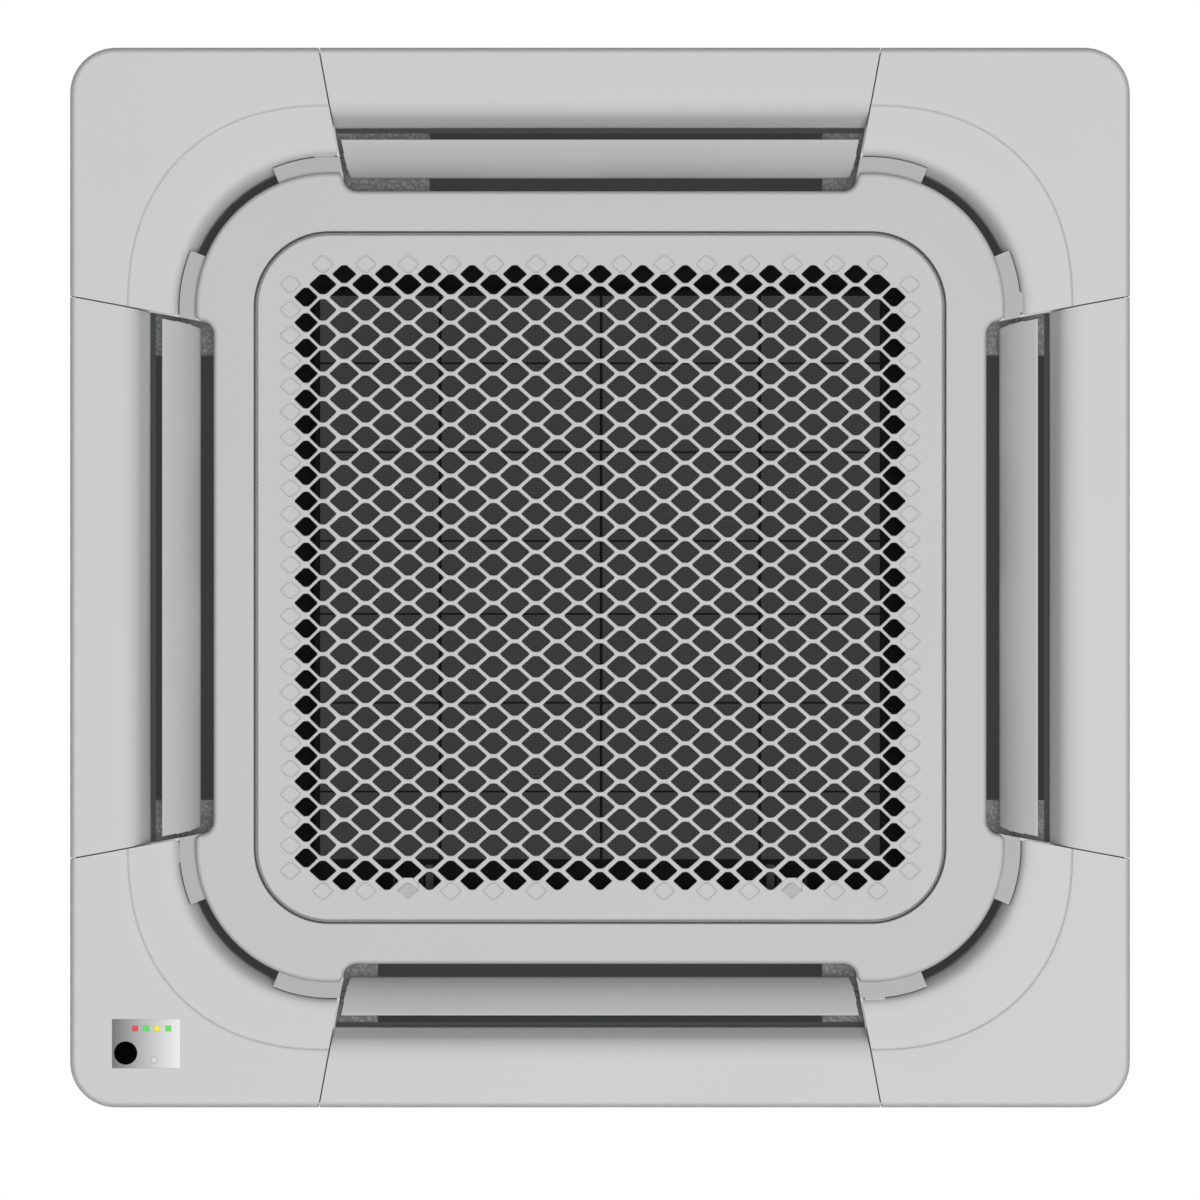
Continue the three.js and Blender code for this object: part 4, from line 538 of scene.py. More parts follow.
class Finish:
    """A node material, built from its object's coordinates in metres."""

    def __init__(self, name, roughness=0.5, metallic=0.0, **sockets):
        self.material = bpy.data.materials.new(name)
        self.material.use_nodes = True
        self.tree = self.material.node_tree
        self.shader = self.tree.nodes["Principled BSDF"]
        self.shader.inputs["Roughness"].default_value = roughness
        self.shader.inputs["Metallic"].default_value = metallic
        for socket, value in sockets.items():
            self.shader.inputs[socket.replace("_", " ")].default_value = value
        self.place = self.node("ShaderNodeTexCoord").outputs["Object"]
        self.height = None

    def node(self, kind, **settings):
        made = self.tree.nodes.new(kind)
        for key, value in settings.items():
            setattr(made, key, value)
        return made

    def link(self, output, target):
        self.tree.links.new(output, target)

    def stretched(self, x, y, z):
        mapping = self.node("ShaderNodeMapping")
        mapping.inputs["Scale"].default_value = (x, y, z)
        self.link(self.place, mapping.inputs["Vector"])
        return mapping.outputs["Vector"]

    def noise(self, scale, detail=2.0, vector=None, rough=0.5):
        made = self.node("ShaderNodeTexNoise")
        made.inputs["Scale"].default_value = scale
        made.inputs["Detail"].default_value = detail
        made.inputs["Roughness"].default_value = rough
        self.link(vector or self.place, made.inputs["Vector"])
        return made.outputs["Fac"]

    def cells(self, scale, output="Distance", feature="F1", vector=None):
        made = self.node("ShaderNodeTexVoronoi", feature=feature)
        made.inputs["Scale"].default_value = scale
        self.link(vector or self.place, made.inputs["Vector"])
        return made.outputs[output]

    def bands(self, pitch, axis, vector=None):
        made = self.node("ShaderNodeTexWave", bands_direction=axis)
        made.inputs["Scale"].default_value = math.pi / (10 * pitch * MM)
        self.link(vector or self.place, made.inputs["Vector"])
        return made.outputs["Fac"]

    def math(self, operation, a, b=0.0):
        made = self.node("ShaderNodeMath", operation=operation)
        for value, socket in zip((a, b), made.inputs):
            if isinstance(value, (int, float)):
                socket.default_value = value
            else:
                self.link(value, socket)
        return made.outputs[0]

    def spread(self, value, low_value, high_value, start=0.0, end=1.0):
        made = self.node("ShaderNodeMapRange")
        self.link(value, made.inputs["Value"])
        numbers = {"From Min": start, "From Max": end, "To Min": low_value, "To Max": high_value}
        for socket, number in numbers.items():
            made.inputs[socket].default_value = number
        return made.outputs["Result"]

    def mix(self, factor, a, b):
        made = self.node("ShaderNodeMix", data_type="RGBA")
        colours = [s for s in made.inputs if s.type == "RGBA"]
        self.link(factor, made.inputs[0])
        for value, socket in zip((a, b), colours):
            if isinstance(value, tuple):
                socket.default_value = (*value, 1)
            else:
                self.link(value, socket)
        return [s for s in made.outputs if s.type == "RGBA"][0]

    def colour(self, output):
        self.link(output, self.shader.inputs["Base Color"])
        return self

    def rough(self, value, low_value, high_value):
        self.link(self.spread(value, low_value, high_value, 0.3, 0.7), self.shader.inputs["Roughness"])
        return self

    def bump(self, height, distance, strength=1.0):
        made = self.node("ShaderNodeBump")
        made.inputs["Distance"].default_value = distance * MM
        made.inputs["Strength"].default_value = strength
        self.link(height, made.inputs["Height"])
        if self.height:
            self.link(self.height, made.inputs["Normal"])
        self.height = made.outputs["Normal"]
        self.link(self.height, self.shader.inputs["Normal"])
        return self


def grey(level):
    """Linear value of a display level from 0 to 255."""
    s = level / 255
    return s / 12.92 if s <= 0.04045 else ((s + 0.055) / 1.055) ** 2.4


def shade(level, *tint):
    r, g, b = tint or (1.0, 1.0, 1.0)
    return (grey(level) * r, grey(level) * g, grey(level) * b)


def moulded(name, level, roughness=0.48, grain=0.02, shine=0.25):
    """Injection-moulded plastic: faint flow marks, a spark-eroded grain and a slightly uneven sheen."""
    f = Finish(name, roughness, Specular_IOR_Level=shine)
    flow = f.noise(4, 2)
    f.colour(f.mix(f.spread(flow, 0, 1, 0.3, 0.7), shade(level * 0.995), shade(level * 1.005)))
    f.rough(f.noise(120, 2), roughness - 0.05, roughness + 0.05)
    return f.bump(f.noise(1600, 2), grain).material


def sheet_metal(name, level=178):
    """Galvanised sheet with spangles."""
    f = Finish(name, 0.42, 0.85)
    spangle = f.cells(130, "Color")
    one = f.node("ShaderNodeSeparateColor")
    f.link(spangle, one.inputs[0])
    tone = f.math("ADD", f.math("MULTIPLY", one.outputs[0], 0.7), f.math("MULTIPLY", f.noise(40, 4), 0.3))
    f.colour(f.mix(tone, shade(level * 0.95, 0.97, 1.0, 1.03), shade(level * 1.03, 0.98, 1.0, 1.02)))
    f.rough(one.outputs[1], 0.34, 0.52)
    return f.bump(f.noise(9, 2), 0.3, 0.4).bump(f.cells(130, "Distance"), 0.02, 0.4).material


def matt(name, roughness, tint, glow):
    """A matt surface with a faint light of its own."""
    return Finish(name, roughness, Specular_IOR_Level=0.1, Emission_Color=(*tint, 1), Emission_Strength=glow)


def beaded(name, level, pitch=3.2):
    """Expanded-bead foam, with a faint painted glow."""
    f = matt(name, 0.92, (0.9, 0.95, 1), FOAM_GLOW)
    beads = f.cells(1 / (pitch * MM))
    edge = f.spread(beads, 1, 0, 0.25, 0.6)
    f.colour(f.mix(edge, shade(level * 0.8), shade(level * 1.05)))
    return f.bump(beads, -0.4, 0.6).material


def soft_foam(name, level, glow=FOAM_GLOW):
    """Closed-cell sheet foam, or a surface that lies as deep, with a faint painted glow."""
    f = matt(name, 0.95, (0.95, 0.97, 1), glow)
    pores = f.noise(900, 4, rough=0.7)
    f.colour(f.mix(f.spread(pores, 0, 1, 0.4, 0.6), shade(level * 0.85), shade(level * 1.1)))
    return f.bump(pores, 0.3).material


def drawn_metal(name, colour, dark, roughness=0.28):
    """Drawn or turned metal with faint marks and a dull bloom."""
    f = Finish(name, roughness, 1.0)
    bloom = f.noise(35, 5, rough=0.65)
    f.colour(f.mix(f.spread(bloom, 0, 1, 0.4, 0.75), colour, dark))
    f.rough(bloom, roughness - 0.06, roughness + 0.16)
    return f.bump(f.noise(260, 2, f.stretched(0.08, 1, 1)), 0.03).material


def fin_stack(name):
    """Edges of thin fins, square to the run that they are in, with painted shade in the gaps between them."""
    f = Finish(name, 0.45, 0.75)
    axes = f.node("ShaderNodeSeparateXYZ")
    f.link(f.place, axes.inputs[0])
    x, y = (f.math("ABSOLUTE", axes.outputs[i]) for i in (0, 1))
    across = f.math("GREATER_THAN", x, y)
    along_x, along_y = f.bands(1.6, "X"), f.bands(1.6, "Y")
    side_lines = f.math("MULTIPLY", across, along_y)
    end_lines = f.math("MULTIPLY", f.math("SUBTRACT", 1.0, across), along_x)
    lines = f.math("ADD", side_lines, end_lines)
    # The dark grey between the fin edges is painted shade in the gaps between the fins.
    f.colour(f.mix(f.spread(lines, 0, 1, 0.15, 0.7), shade(58), shade(188, 0.98, 1.0, 1.02)))
    f.rough(f.noise(60, 3), 0.38, 0.55)
    return f.bump(lines, 0.6, 0.9).material


def net(name, level=60):
    """Woven netting."""
    f = Finish(name, 0.9, Specular_IOR_Level=0.1)
    weave = f.math("MAXIMUM", f.bands(1.4, "X"), f.bands(1.4, "Y"))
    f.colour(f.mix(f.spread(weave, 0, 1, 0.55, 0.95), shade(level * 0.72), shade(level * 1.14)))
    return f.bump(weave, 0.25).material


def display_pane(name):
    """A half-silvered pane, with a painted reflection that runs from smoke to pale along its length."""
    f = Finish(name, 0.15, Specular_IOR_Level=0.2)
    axes = f.node("ShaderNodeSeparateXYZ")
    f.link(f.place, axes.inputs[0])
    left, right = (DISPLAY_X - DISPLAY_WIDTH / 2) * MM, (DISPLAY_X + DISPLAY_WIDTH / 2) * MM
    along = f.spread(axes.outputs[0], 0, 1, left, right)
    # A painted reflection, from smoke at the pane's left end to pale at its right.
    painted_reflection = f.math("ADD", along, f.math("MULTIPLY", f.math("SUBTRACT", f.noise(60, 2), 0.5), 0.04))
    f.colour(f.mix(painted_reflection, shade(116), shade(236)))
    return f.bump(f.noise(300, 1), 0.01).material


def glowing(name, colour, strength=0.2):
    f = Finish(name, 0.4, Emission_Strength=strength, Specular_IOR_Level=0.2)
    core = f.noise(700, 2)
    tinted = f.mix(f.spread(core, 0, 1, 0.35, 0.65), tuple(c * 0.8 for c in colour), colour)
    f.link(tinted, f.shader.inputs["Emission Color"])
    return f.colour(tinted).material


def circuit(name):
    f = Finish(name, 0.38)
    tracks = f.cells(240, "Distance", "DISTANCE_TO_EDGE")
    f.colour(f.mix(f.spread(tracks, 0, 1, 0.04, 0.1), (0.02, 0.12, 0.05), (0.012, 0.07, 0.03)))
    return f.bump(tracks, 0.05).material


WHITE = moulded("panel_white", 204)
RING_WHITE = moulded("ring_white", 195)
# The pads' grey, darker than the panel's white, is painted shade for their sunk floors.
PAD_SHADE = moulded("pad_painted_shade", 177)
GRILLE_WHITE = moulded("grille_white", 197, 0.52)
BLADE_WHITE = moulded("blade_white", 192, 0.5)
KNOB_GREY = moulded("knob_grey", 180)
DARK = moulded("plastic_dark", 30, 0.6, 0.05, 0.12)
PIN_GREY = moulded("pin_grey", 84, 0.6, 0.05, 0.12)
FAN_GREY = moulded("fan_grey", 88, 0.55, 0.05)
PALE_GREY = moulded("plastic_grey", 190, 0.5, 0.04)
FRAME_DARK = moulded("filter_frame", 18, 0.7, 0.04, 0.05)
ZINC = sheet_metal("zinc")
# The drain pan's foam glows faintly: painted light on its blocks deep in the outlets.
PAN = beaded("pan_foam", 128)
# The liner glows faintly: painted light deep in the outlets.
FOAM = soft_foam("liner_foam", 62)
COPPER = drawn_metal("copper", (0.78, 0.38, 0.22), (0.42, 0.19, 0.11))
BRASS = drawn_metal("brass", (0.75, 0.56, 0.22), (0.5, 0.36, 0.14))
STEEL = drawn_metal("steel", (0.6, 0.6, 0.61), (0.42, 0.42, 0.43))
CAN = drawn_metal("motor_can", (0.4, 0.41, 0.42), (0.3, 0.31, 0.32), 0.4)
FINS = fin_stack("fins")
NET = net("netting")
PANE = display_pane("display_pane")
BOARD = circuit("circuit_board")
LENS = moulded("black_lens", 4, 0.1, 0.002, 0.03)
# Near-black, with a faint glow: painted shade on the shelf that lies deep above the intake.
CAVITY_SHADE = soft_foam("cavity_painted_shade", 22)
# The shelf's pale rim glows: painted light seen through the gap round the door.
RIM_GLOW = soft_foam("rim_painted_glow", 200, 0.1)
RED, GREEN, YELLOW = (
    glowing("light_red", (0.75, 0.08, 0.08)),
    glowing("light_green", (0.12, 0.7, 0.14)),
    glowing("light_yellow", (0.85, 0.8, 0.05)),
)

# ---- panel frame


def edge_steps():
    """The panel's outer edge, as (inset, rise) from its face to its side."""
    return [(inset, rise * EDGE_DROP / EDGE_ROUND) for inset, rise in rounding(EDGE_ROUND, 8)]


def lip_line():
    """The room side of a side section, as [y, z] points from the outlet out to the panel's edge."""
    edge = [(PANEL_HALF - inset, FACE_Z + rise) for inset, rise in edge_steps()]
    roll = arc(ROLL_START, FACE_Z + ROLL_RADIUS, ROLL_RADIUS, 270 - ROLL_ANGLE, 270, 18)
    return [(SLOT_OUTER, -SKIN), *roll, *edge, (PANEL_HALF, 0)]


def slanted(profile, margin=0.0):
    """A solid over a [y, z] profile, between the two slanted ends of the front side section."""
    ends = [[(side * side_half(y, margin), y, z) for y, z in profile] for side in (-1, 1)]
    return loft(ends)


def side_section():
    """The front side section: a skin over its room side, open at its back."""
    line = lip_line()
    inner = ribbon(line, SKIN)[::-1]
    whole = slanted([*line, (SLOT_OUTER, 0)])
    hollow = slanted([*inner, (PANEL_HALF - SKIN, 20), (SLOT_OUTER + SKIN, 20)], SKIN)
    return cut(whole, hollow)


def outlet_walls():
    """The front outlet's walls, and its collar above the panel."""
    reach = 260
    pad_edge = ARC_CENTRE + RING_ARC + PAD_WIDTH - 0.5
    wall = prism(slot_outline(-SKIN), PAD_Z + 0.4, 0.5, [slot_outline()])
    collar = prism(slot_outline(-SKIN), -SKIN, COLLAR_TOP, [slot_outline()])
    return union(
        cut(
            wall,
            box(-reach, reach, SLOT_OUTER - 2, SLOT_OUTER + 5, -PAST, PAST),
            box(-reach, reach, pad_edge, SLOT_OUTER, -PAST, PAD_Z + SKIN + CLEARANCE),
            rod(PIN_RADIUS + 0.5, -reach, reach, LOUVER_AXIS_U, LOUVER_AXIS_Z),
        ),
        collar,
    )


def ring_outline(inset):
    """The ring's outer edge: round corners, and a step inwards at each outlet."""
    outline = []
    half, corner = ARC_CENTRE + RING_ARC, RING_EDGE + 0.6
    end = side_half(half)
    slot_half = side_half(SLOT_INNER + SLOT_CORNER) - SLOT_CORNER
    quarter = [
        *arc(ARC_CENTRE, ARC_CENTRE, RING_ARC - inset, 0, 90, 40),
        *arc(end + corner, half - corner, corner - inset, 90, 180, 6),
        *arc(slot_half, SLOT_INNER + SLOT_CORNER, SLOT_CORNER + inset, 0, -90, 8),
        *arc(-slot_half, SLOT_INNER + SLOT_CORNER, SLOT_CORNER + inset, -90, -180, 8),
        *arc(-end - corner, half - corner, corner - inset, 0, 90, 6),
    ]
    for turn in range(4):
        a = math.radians(90 * turn)
        c, s = math.cos(a), math.sin(a)
        outline += [(x * c - y * s, x * s + y * c) for x, y in quarter]
    return outline


def ring():
    """The ring between the grille and the outlets: a channel that is open at its back."""

    def square(grow):
        return rounded_square(DOOR_HALF + DOOR_GAP + grow, DOOR_RADIUS + DOOR_GAP + grow)

    outer = rounded_edge(ring_outline, RING_Z, RING_EDGE, 6, RING_DROP)
    outer += [(ring_outline(0), 0), (ring_outline(SKIN), 0), (ring_outline(SKIN), RING_Z + SKIN)]
    hole = rounded_edge(square, RING_Z, MOUTH_EDGE, 3)
    hole += [(square(0), 0), (square(SKIN), 0), (square(SKIN), RING_Z + SKIN)]
    collar = prism(square(SKIN), -1, COLLAR_TOP, [square(0)])
    return union(plate(outer, [hole]), collar)


def shelf():
    """The shelf over the grille: its pale rim over the gap round the door, which glows with painted light,
    and its lining, made near-black as painted shade.
    """
    mouth, radius = DOOR_HALF + DOOR_GAP - 0.05, DOOR_RADIUS + DOOR_GAP
    border = rounded_square(DOOR_HALF - 0.5, DOOR_RADIUS)
    opening = rounded_square(INTAKE_HALF, INTAKE_HALF - mouth + radius)
    rim = prism(rounded_square(mouth, radius), SHELF_Z, SHELF_Z + SKIN, [border])
    return rim, prism(rounded_square(DOOR_HALF - 0.55, DOOR_RADIUS), SHELF_Z, SHELF_Z + SKIN, [opening])


def corner_floor():
    """The floor over the front right corner cover, with the corner outlet's walls."""
    rim = SKIN + 2 * CLEARANCE
    start = 45 - ARC_SLOT_HALF_ANGLE
    floor = prism(corner_outline(-0.5, rim), -SKIN, 0)
    around = sector(RING_ARC - 1, RING_ARC + ARC_SLOT_WIDTH + SKIN, start - 2, 92 - start)
    well = prism(around, -1, COLLAR_TOP)
    core = post(RING_ARC - 0.5, -PAST, PAST, ARC_CENTRE, ARC_CENTRE, 96)
    return cut(union(cut(floor, core), well), prism(arc_slot(), -PAST, PAST))


def pads():
    """The sunk pads at both ends of the front right corner outlet."""
    start = 45 - ARC_SLOT_HALF_ANGLE
    region = prism(corner_outline(-0.5, SKIN + 2 * CLEARANCE), -PAST, PAST)

    def pad(a, b, outer, bottom, top):
        return common(prism(sector(RING_ARC + 0.05, outer, a, b, 12), bottom, top), region)

    def sunk(floor, wall):
        """A pad's floor and the wall at its end, each between two angles."""
        flat = pad(*floor, outer, PAD_Z, PAD_Z + PAD_SKIN)
        return union(flat, pad(*wall, outer - 2, PAD_Z + 0.5, -SKIN - 0.05))

    outer = RING_ARC + PAD_WIDTH
    first = sunk((-10, start), (start - PAD_SKIN, start))
    return gathered(first, sunk((90 - start, 100), (90 - start, 90 - start + PAD_SKIN)))


def grille_hinge():
    """Where the grille's hinge axis runs, as y and z."""
    hinge = next(j for j in frame["joints"] if j["name"] == "grille_hinge")
    return hinge["pos_m"][1] / MM, hinge["pos_m"][2] / MM


def hinge_lug(x):
    """One of the frame's lugs: an eye round the hinge axis, on a stem."""
    y, z = grille_hinge()
    half, r = LUG_HALF, LUG_RADIUS
    stem = box(x - half, x + half, y - r, y + r, z, SHELF_Z + 1)
    return cut(union(rod(r, x - half, x + half, y, z), stem), rod(LUG_BORE, x - 2 * half, x + 2 * half, y, z))


slots = all_round(prism(slot_outline(), -PAST, PAST))
quarter = union(side_section(), outlet_walls(), corner_floor())
panel = union(*all_round(quarter))
panel_ring = union(ring(), hinge_lug(-HINGE_AT), hinge_lug(HINGE_AT))
piece("panel_frame", "unit", "panel_white", WHITE, cut(panel, *slots), "panel_frame")
piece("panel_ring", "unit", "panel_white", RING_WHITE, cut(panel_ring, *slots))
shelf_rim, shelf_painted_shade = shelf()
# The rim glows with painted light, lighting the gap round the door.
piece("panel_shelf", "unit", "panel_white", RIM_GLOW, shelf_rim)
# The lining is made near-black: painted shade on the shelf round the intake.
piece("shelf_painted_shade", "unit", "foam", CAVITY_SHADE, shelf_painted_shade)
all_pads = gathered(*[cut(pair, *slots) for pair in all_round(pads())])
# The pads take the darker grey: painted shade on their sunk floors.
piece("panel_pads", "unit", "panel_white", PAD_SHADE, all_pads)

# ---- corner covers


def edge_distance(degrees, inset):
    """How far the panel's outline, moved inwards, is from the arc's centre in a direction."""
    a = math.radians(degrees)
    dx, dy = math.cos(a), math.sin(a)
    half, radius = PANEL_HALF - inset, PANEL_RADIUS - inset
    near, far = 0.0, 2 * PANEL_HALF
    for _ in range(50):
        mid = (near + far) / 2
        qx = abs(ARC_CENTRE + mid * dx) - half + radius
        qy = abs(ARC_CENTRE + mid * dy) - half + radius
        outside = math.hypot(max(qx, 0), max(qy, 0)) + min(max(qx, qy), 0) > radius
        near, far = (near, mid) if outside else (mid, far)
    return near


def crease_radius(degrees):
    a = math.radians(degrees)
    bulge = abs(math.cos(a)) ** CREASE_POWER + abs(math.sin(a)) ** CREASE_POWER
    return CREASE_ARC / bulge ** (1 / CREASE_POWER)


def cover_profile(degrees):
    """The cover's section in a direction from the arc's centre, as closed [radius, z] points."""
    face, base = FACE_Z, FACE_Z + CREASE_STEP
    crease = crease_radius(degrees)
    cove = [(COVE_START, -SKIN - CLEARANCE), *COVE, (COVE_ARC + 1, base)]
    ramp = [(crease + out, base + rise) for out, rise in CREASE_CURVE]
    ramp.append((crease + CREASE_RAMP, face))
    edge = [(edge_distance(degrees, inset), face + rise) for inset, rise in edge_steps()]
    outer = edge_distance(degrees, 0)
    wall = edge_distance(degrees, SKIN)
    back = [(wall, -CLEARANCE), (wall, face + 2 * SKIN), (crease + CREASE_RAMP, face + SKIN)]
    back += [(crease, base + SKIN), (COVE_ARC, base + SKIN)]
    back += [*COVE_BACK, (COVE_START + SKIN, -SKIN - CLEARANCE)]
    return [*cove, *ramp, *edge, (outer, -CLEARANCE), *back]


def corner_cover():
    """The front right corner cover."""
    loops = []
    for step in range(-20, 111, 1):
        a = math.radians(step)
        loops.append(
            [(ARC_CENTRE + r * math.cos(a), ARC_CENTRE + r * math.sin(a), z) for r, z in cover_profile(step)]
        )
    shell = common(loft(loops), prism(corner_outline(PARTING, -6), -PAST, 10))
    pad_edge = RING_ARC + PAD_WIDTH + 2 * CLEARANCE
    sides = [
        prism(sector(60, pad_edge, -30, 45 - ARC_SLOT_HALF_ANGLE), -PAST, PAST),
        prism(sector(60, pad_edge, 45 + ARC_SLOT_HALF_ANGLE, 120), -PAST, PAST),
    ]
    return cut(shell, *sides)


def display_pocket(cover):
    """The cover with room for the display's pane, receiver, button and lights."""
    w, h = DISPLAY_WIDTH / 2, DISPLAY_HEIGHT / 2
    face = FACE_Z
    return cut(
        cover,
        box(DISPLAY_X - w, DISPLAY_X + w, DISPLAY_Y - h, DISPLAY_Y + h, face - 5, face + DISPLAY_SKIN),
        post(RECEIVER_RADIUS + CLEARANCE, -PAST, 0, RECEIVER_X, RECEIVER_Y, 48),
        post(BUTTON_RADIUS + CLEARANCE, -PAST, 0, BUTTON_X, BUTTON_Y),
        box(LIGHT_X - 5, LIGHT_X + 3 * LIGHT_PITCH + 5, LIGHT_Y - 4, LIGHT_Y + 4, -PAST, 0),
    )


cover = corner_cover()
for corner, turn in CORNERS.items():
    shell = moved(cover, turn)
    name = f"corner_cover_{corner}"
    if corner == "front_left":
        shell = display_pocket(shell)
    piece(name, "unit", "panel_white", WHITE, shell, name)

# ---- display


def button_cap(outline, bottom, top, edge):
    """A moulded cap: an outline as a function of its inset, rounded towards the room."""
    return plate([*rounded_edge(outline, bottom, edge, 4), (outline(0), top)])


def disc(x, y, radius, steps=48):
    return lambda inset: circle(x, y, radius - inset, steps)


def lights_at(i):
    return LIGHT_X + i * LIGHT_PITCH


def light_outline(i):
    half = LIGHT_SIZE / 2
    return lambda inset: rounded_rectangle(lights_at(i), LIGHT_Y, half - inset, half - inset, 1 - inset, 3)


def pane_outline(inset):
    half_width, half_height = DISPLAY_WIDTH / 2 - PANE_GAP - inset, DISPLAY_HEIGHT / 2 - PANE_GAP - inset
    return rounded_rectangle(DISPLAY_X, DISPLAY_Y, half_width, half_height, 0.6 - inset)


pane_layers = rounded_edge(pane_outline, FACE_Z, 0.2, 3)
pane_layers.append((pane_outline(0), FACE_Z + DISPLAY_SKIN - CLEARANCE))
hole = LIGHT_SIZE / 2 + 0.05
pane = cut(
    plate(pane_layers),
    post(RECEIVER_RADIUS + CLEARANCE, -PAST, 0, RECEIVER_X, RECEIVER_Y, 48),
    post(BUTTON_RADIUS + 0.1, -PAST, 0, BUTTON_X, BUTTON_Y),
    *[
        box(lights_at(i) - hole, lights_at(i) + hole, LIGHT_Y - hole, LIGHT_Y + hole, -PAST, 0)
        for i in range(4)
    ],
)
piece("display_window", "unit", "display_smoke", PANE, pane, "display_window")
dome = [(0, 0), (4, 0.05), (8, 0.3), (9.7, 0.7), (RECEIVER_RADIUS, 1.6), (RECEIVER_RADIUS, 4), (6, 4)]
dome = [(r, FACE_Z + rise) for r, rise in dome] + [(6, DISPLAY_BOARD_Z), (0, DISPLAY_BOARD_Z)]
receiver = lathe(dome, 64, RECEIVER_X, RECEIVER_Y)
piece("infrared_receiver", "unit", "lens_black", LENS, receiver, "infrared_receiver")
caps = [button_cap(light_outline(i), FACE_Z, -25, 0.4) for i in range(4)]
lamp_bar = box(lights_at(0) - 4, lights_at(3) + 4, LIGHT_Y - 3, LIGHT_Y + 3, -26, DISPLAY_BOARD_Z)
lamps = gathered(*caps, lamp_bar)
tints = [tint for part, tint in zip([*caps, lamp_bar], (0, 1, 2, 1, 3)) for _ in part.polygons]
lamp_finish = [RED, GREEN, YELLOW, PALE_GREY]
paint(piece("indicator_lights", "unit", "light_lens", lamp_finish, lamps, "indicator_lights"), tints)
flange = FACE_Z + DISPLAY_SKIN + 1.5
piece(
    "manual_button",
    "button",
    "panel_white",
    moulded("button_white", 214),
    gathered(
        button_cap(disc(BUTTON_X, BUTTON_Y, BUTTON_RADIUS), FACE_Z, -23.1, 0.6),
        post(BUTTON_RADIUS + 1.5, flange, flange + 1.5, BUTTON_X, BUTTON_Y),
    ),
    "manual_button",
)

# ---- louvres


BLADE_TURN = math.radians(LOUVER_TURN / 2)
BLADE_RADIUS = LOUVER_CHORD / 2 / math.sin(BLADE_TURN)
BLADE_CENTRE = BLADE_RADIUS * math.cos(BLADE_TURN)
BLADE_MID = BLADE_RADIUS - LOUVER_SKIN / 2


def blade_section():
    """The blade's closed section, as (chord, height) points about its middle, with round edges."""
    r = LOUVER_SKIN / 2
    reach = BLADE_TURN - r / BLADE_MID
    section = []

    def add(angle, radius, along):
        c = radius * math.sin(angle) + along * math.cos(angle)
        section.append((c, BLADE_CENTRE - radius * math.cos(angle) + along * math.sin(angle)))

    for side in (1, -1):
        for i in range(25):
            add(side * (-reach + 2 * reach * i / 24), BLADE_MID + side * r, 0)
        for i in range(1, 8):
            b = math.pi * i / 8
            add(side * reach, BLADE_MID + side * r * math.cos(b), side * r * math.sin(b))
    return [(c, z + curl(c)) for c, z in section]


def curl(chord):
    """How far the blade's inner edge curls away from the room."""
    past = max(0.0, LOUVER_CURL - chord - LOUVER_CHORD / 2)
    return LOUVER_CURL_RISE * (past / LOUVER_CURL) ** 2


def blade_half(chord):
    """Half length of the blade, by the distance from its inner edge."""
    if chord < LOUVER_CORNER:
        rest = LOUVER_CORNER - max(chord, 0)
        return LOUVER_HALF_INNER - LOUVER_CORNER + math.sqrt(LOUVER_CORNER**2 - rest**2)
    slope = (LOUVER_HALF_OUTER - LOUVER_HALF_INNER) / (LOUVER_CHORD - LOUVER_CORNER)
    return LOUVER_HALF_INNER + (chord - LOUVER_CORNER) * slope


def louver():
    """The front louvre, standing open: its blade, the ribs at its ends and its two pins."""
    section = blade_section()
    loops = []
    for side in (-1, 1):
        for inset, share in LOUVER_END[::-side]:
            loop = []
            for c, z in section:
                half = blade_half(c + LOUVER_CHORD / 2) - inset
                mid_z = blade_mid(c)
                loop.append((side * half, c, mid_z + (z - mid_z) * share))
            loops.append(loop)
    blade = loft(loops)
    inner = side_half(LOUVER_AXIS_U) - LOUVER_RIB_INSET
    outer = side_half(LOUVER_AXIS_U) + SKIN + 0.5
    ribs = []
    for side in (-1, 1):
        x0, x1 = sorted((side * (inner - LOUVER_RIB / 2), side * (inner + LOUVER_RIB / 2)))
        web = [(-8, 0), (-5, PIN_RADIUS), (5, PIN_RADIUS), (8, 0), (8, -LOUVER_SKIN), (-8, -LOUVER_SKIN)]
        ribs.append(loft([[(x, y, z) for y, z in web] for x in (x0, x1)]))
        a, b = sorted((side * inner, side * outer))
        ribs.append(rod(PIN_RADIUS, a, b, 0, 0))
    whole = union(blade, *ribs)
    axis = Matrix.Translation((0, LOUVER_AXIS_U, LOUVER_AXIS_Z))
    whole.transform(axis @ Matrix.Rotation(-math.radians(LOUVER_TILT), 4, "X"))
    return whole


def blade_mid(chord):
    """Height of the middle of the blade's thickness."""
    return BLADE_CENTRE - math.sqrt(max(BLADE_MID**2 - chord**2, 0)) + curl(chord)


blade = louver()
ends = [abs(polygon.center.x) > side_half(LOUVER_AXIS_U) - PIN_SHOWS for polygon in blade.polygons]
for side, turn in TURNS.items():
    name = f"louver_{side}"
    paint(piece(name, name, "blade_white", [BLADE_WHITE, PIN_GREY], moved(blade, turn), name), ends)

# ---- intake grille


def cell(x, y, half_x=CELL_HALF_X, half_y=CELL_HALF_Y, grow=0.0):
    """One opening: a hexagon with pointed sides and a short flat top, its corners softened."""
    sx, sy = half_x / CELL_HALF_X, half_y / CELL_HALF_Y
    upper = CELL_QUARTER + [(-px, py) for px, py in CELL_QUARTER[-2::-1]]
    whole = upper + [(px, -py) for px, py in upper[-2:0:-1]]
    points = []
    for i, (px, py) in enumerate(whole):
        before, after = whole[i - 1], whole[(i + 1) % len(whole)]
        dx, dy = after[0] - before[0], after[1] - before[1]
        length = math.hypot(dx, dy)
        points.append((x + px * sx + grow * dy / length, y + py * sy - grow * dx / length))
    return points


def centres(count, pitch):
    """Places along a row of openings, about the middle."""
    return [(i - count // 2 + 0.5) * pitch for i in range(count)]


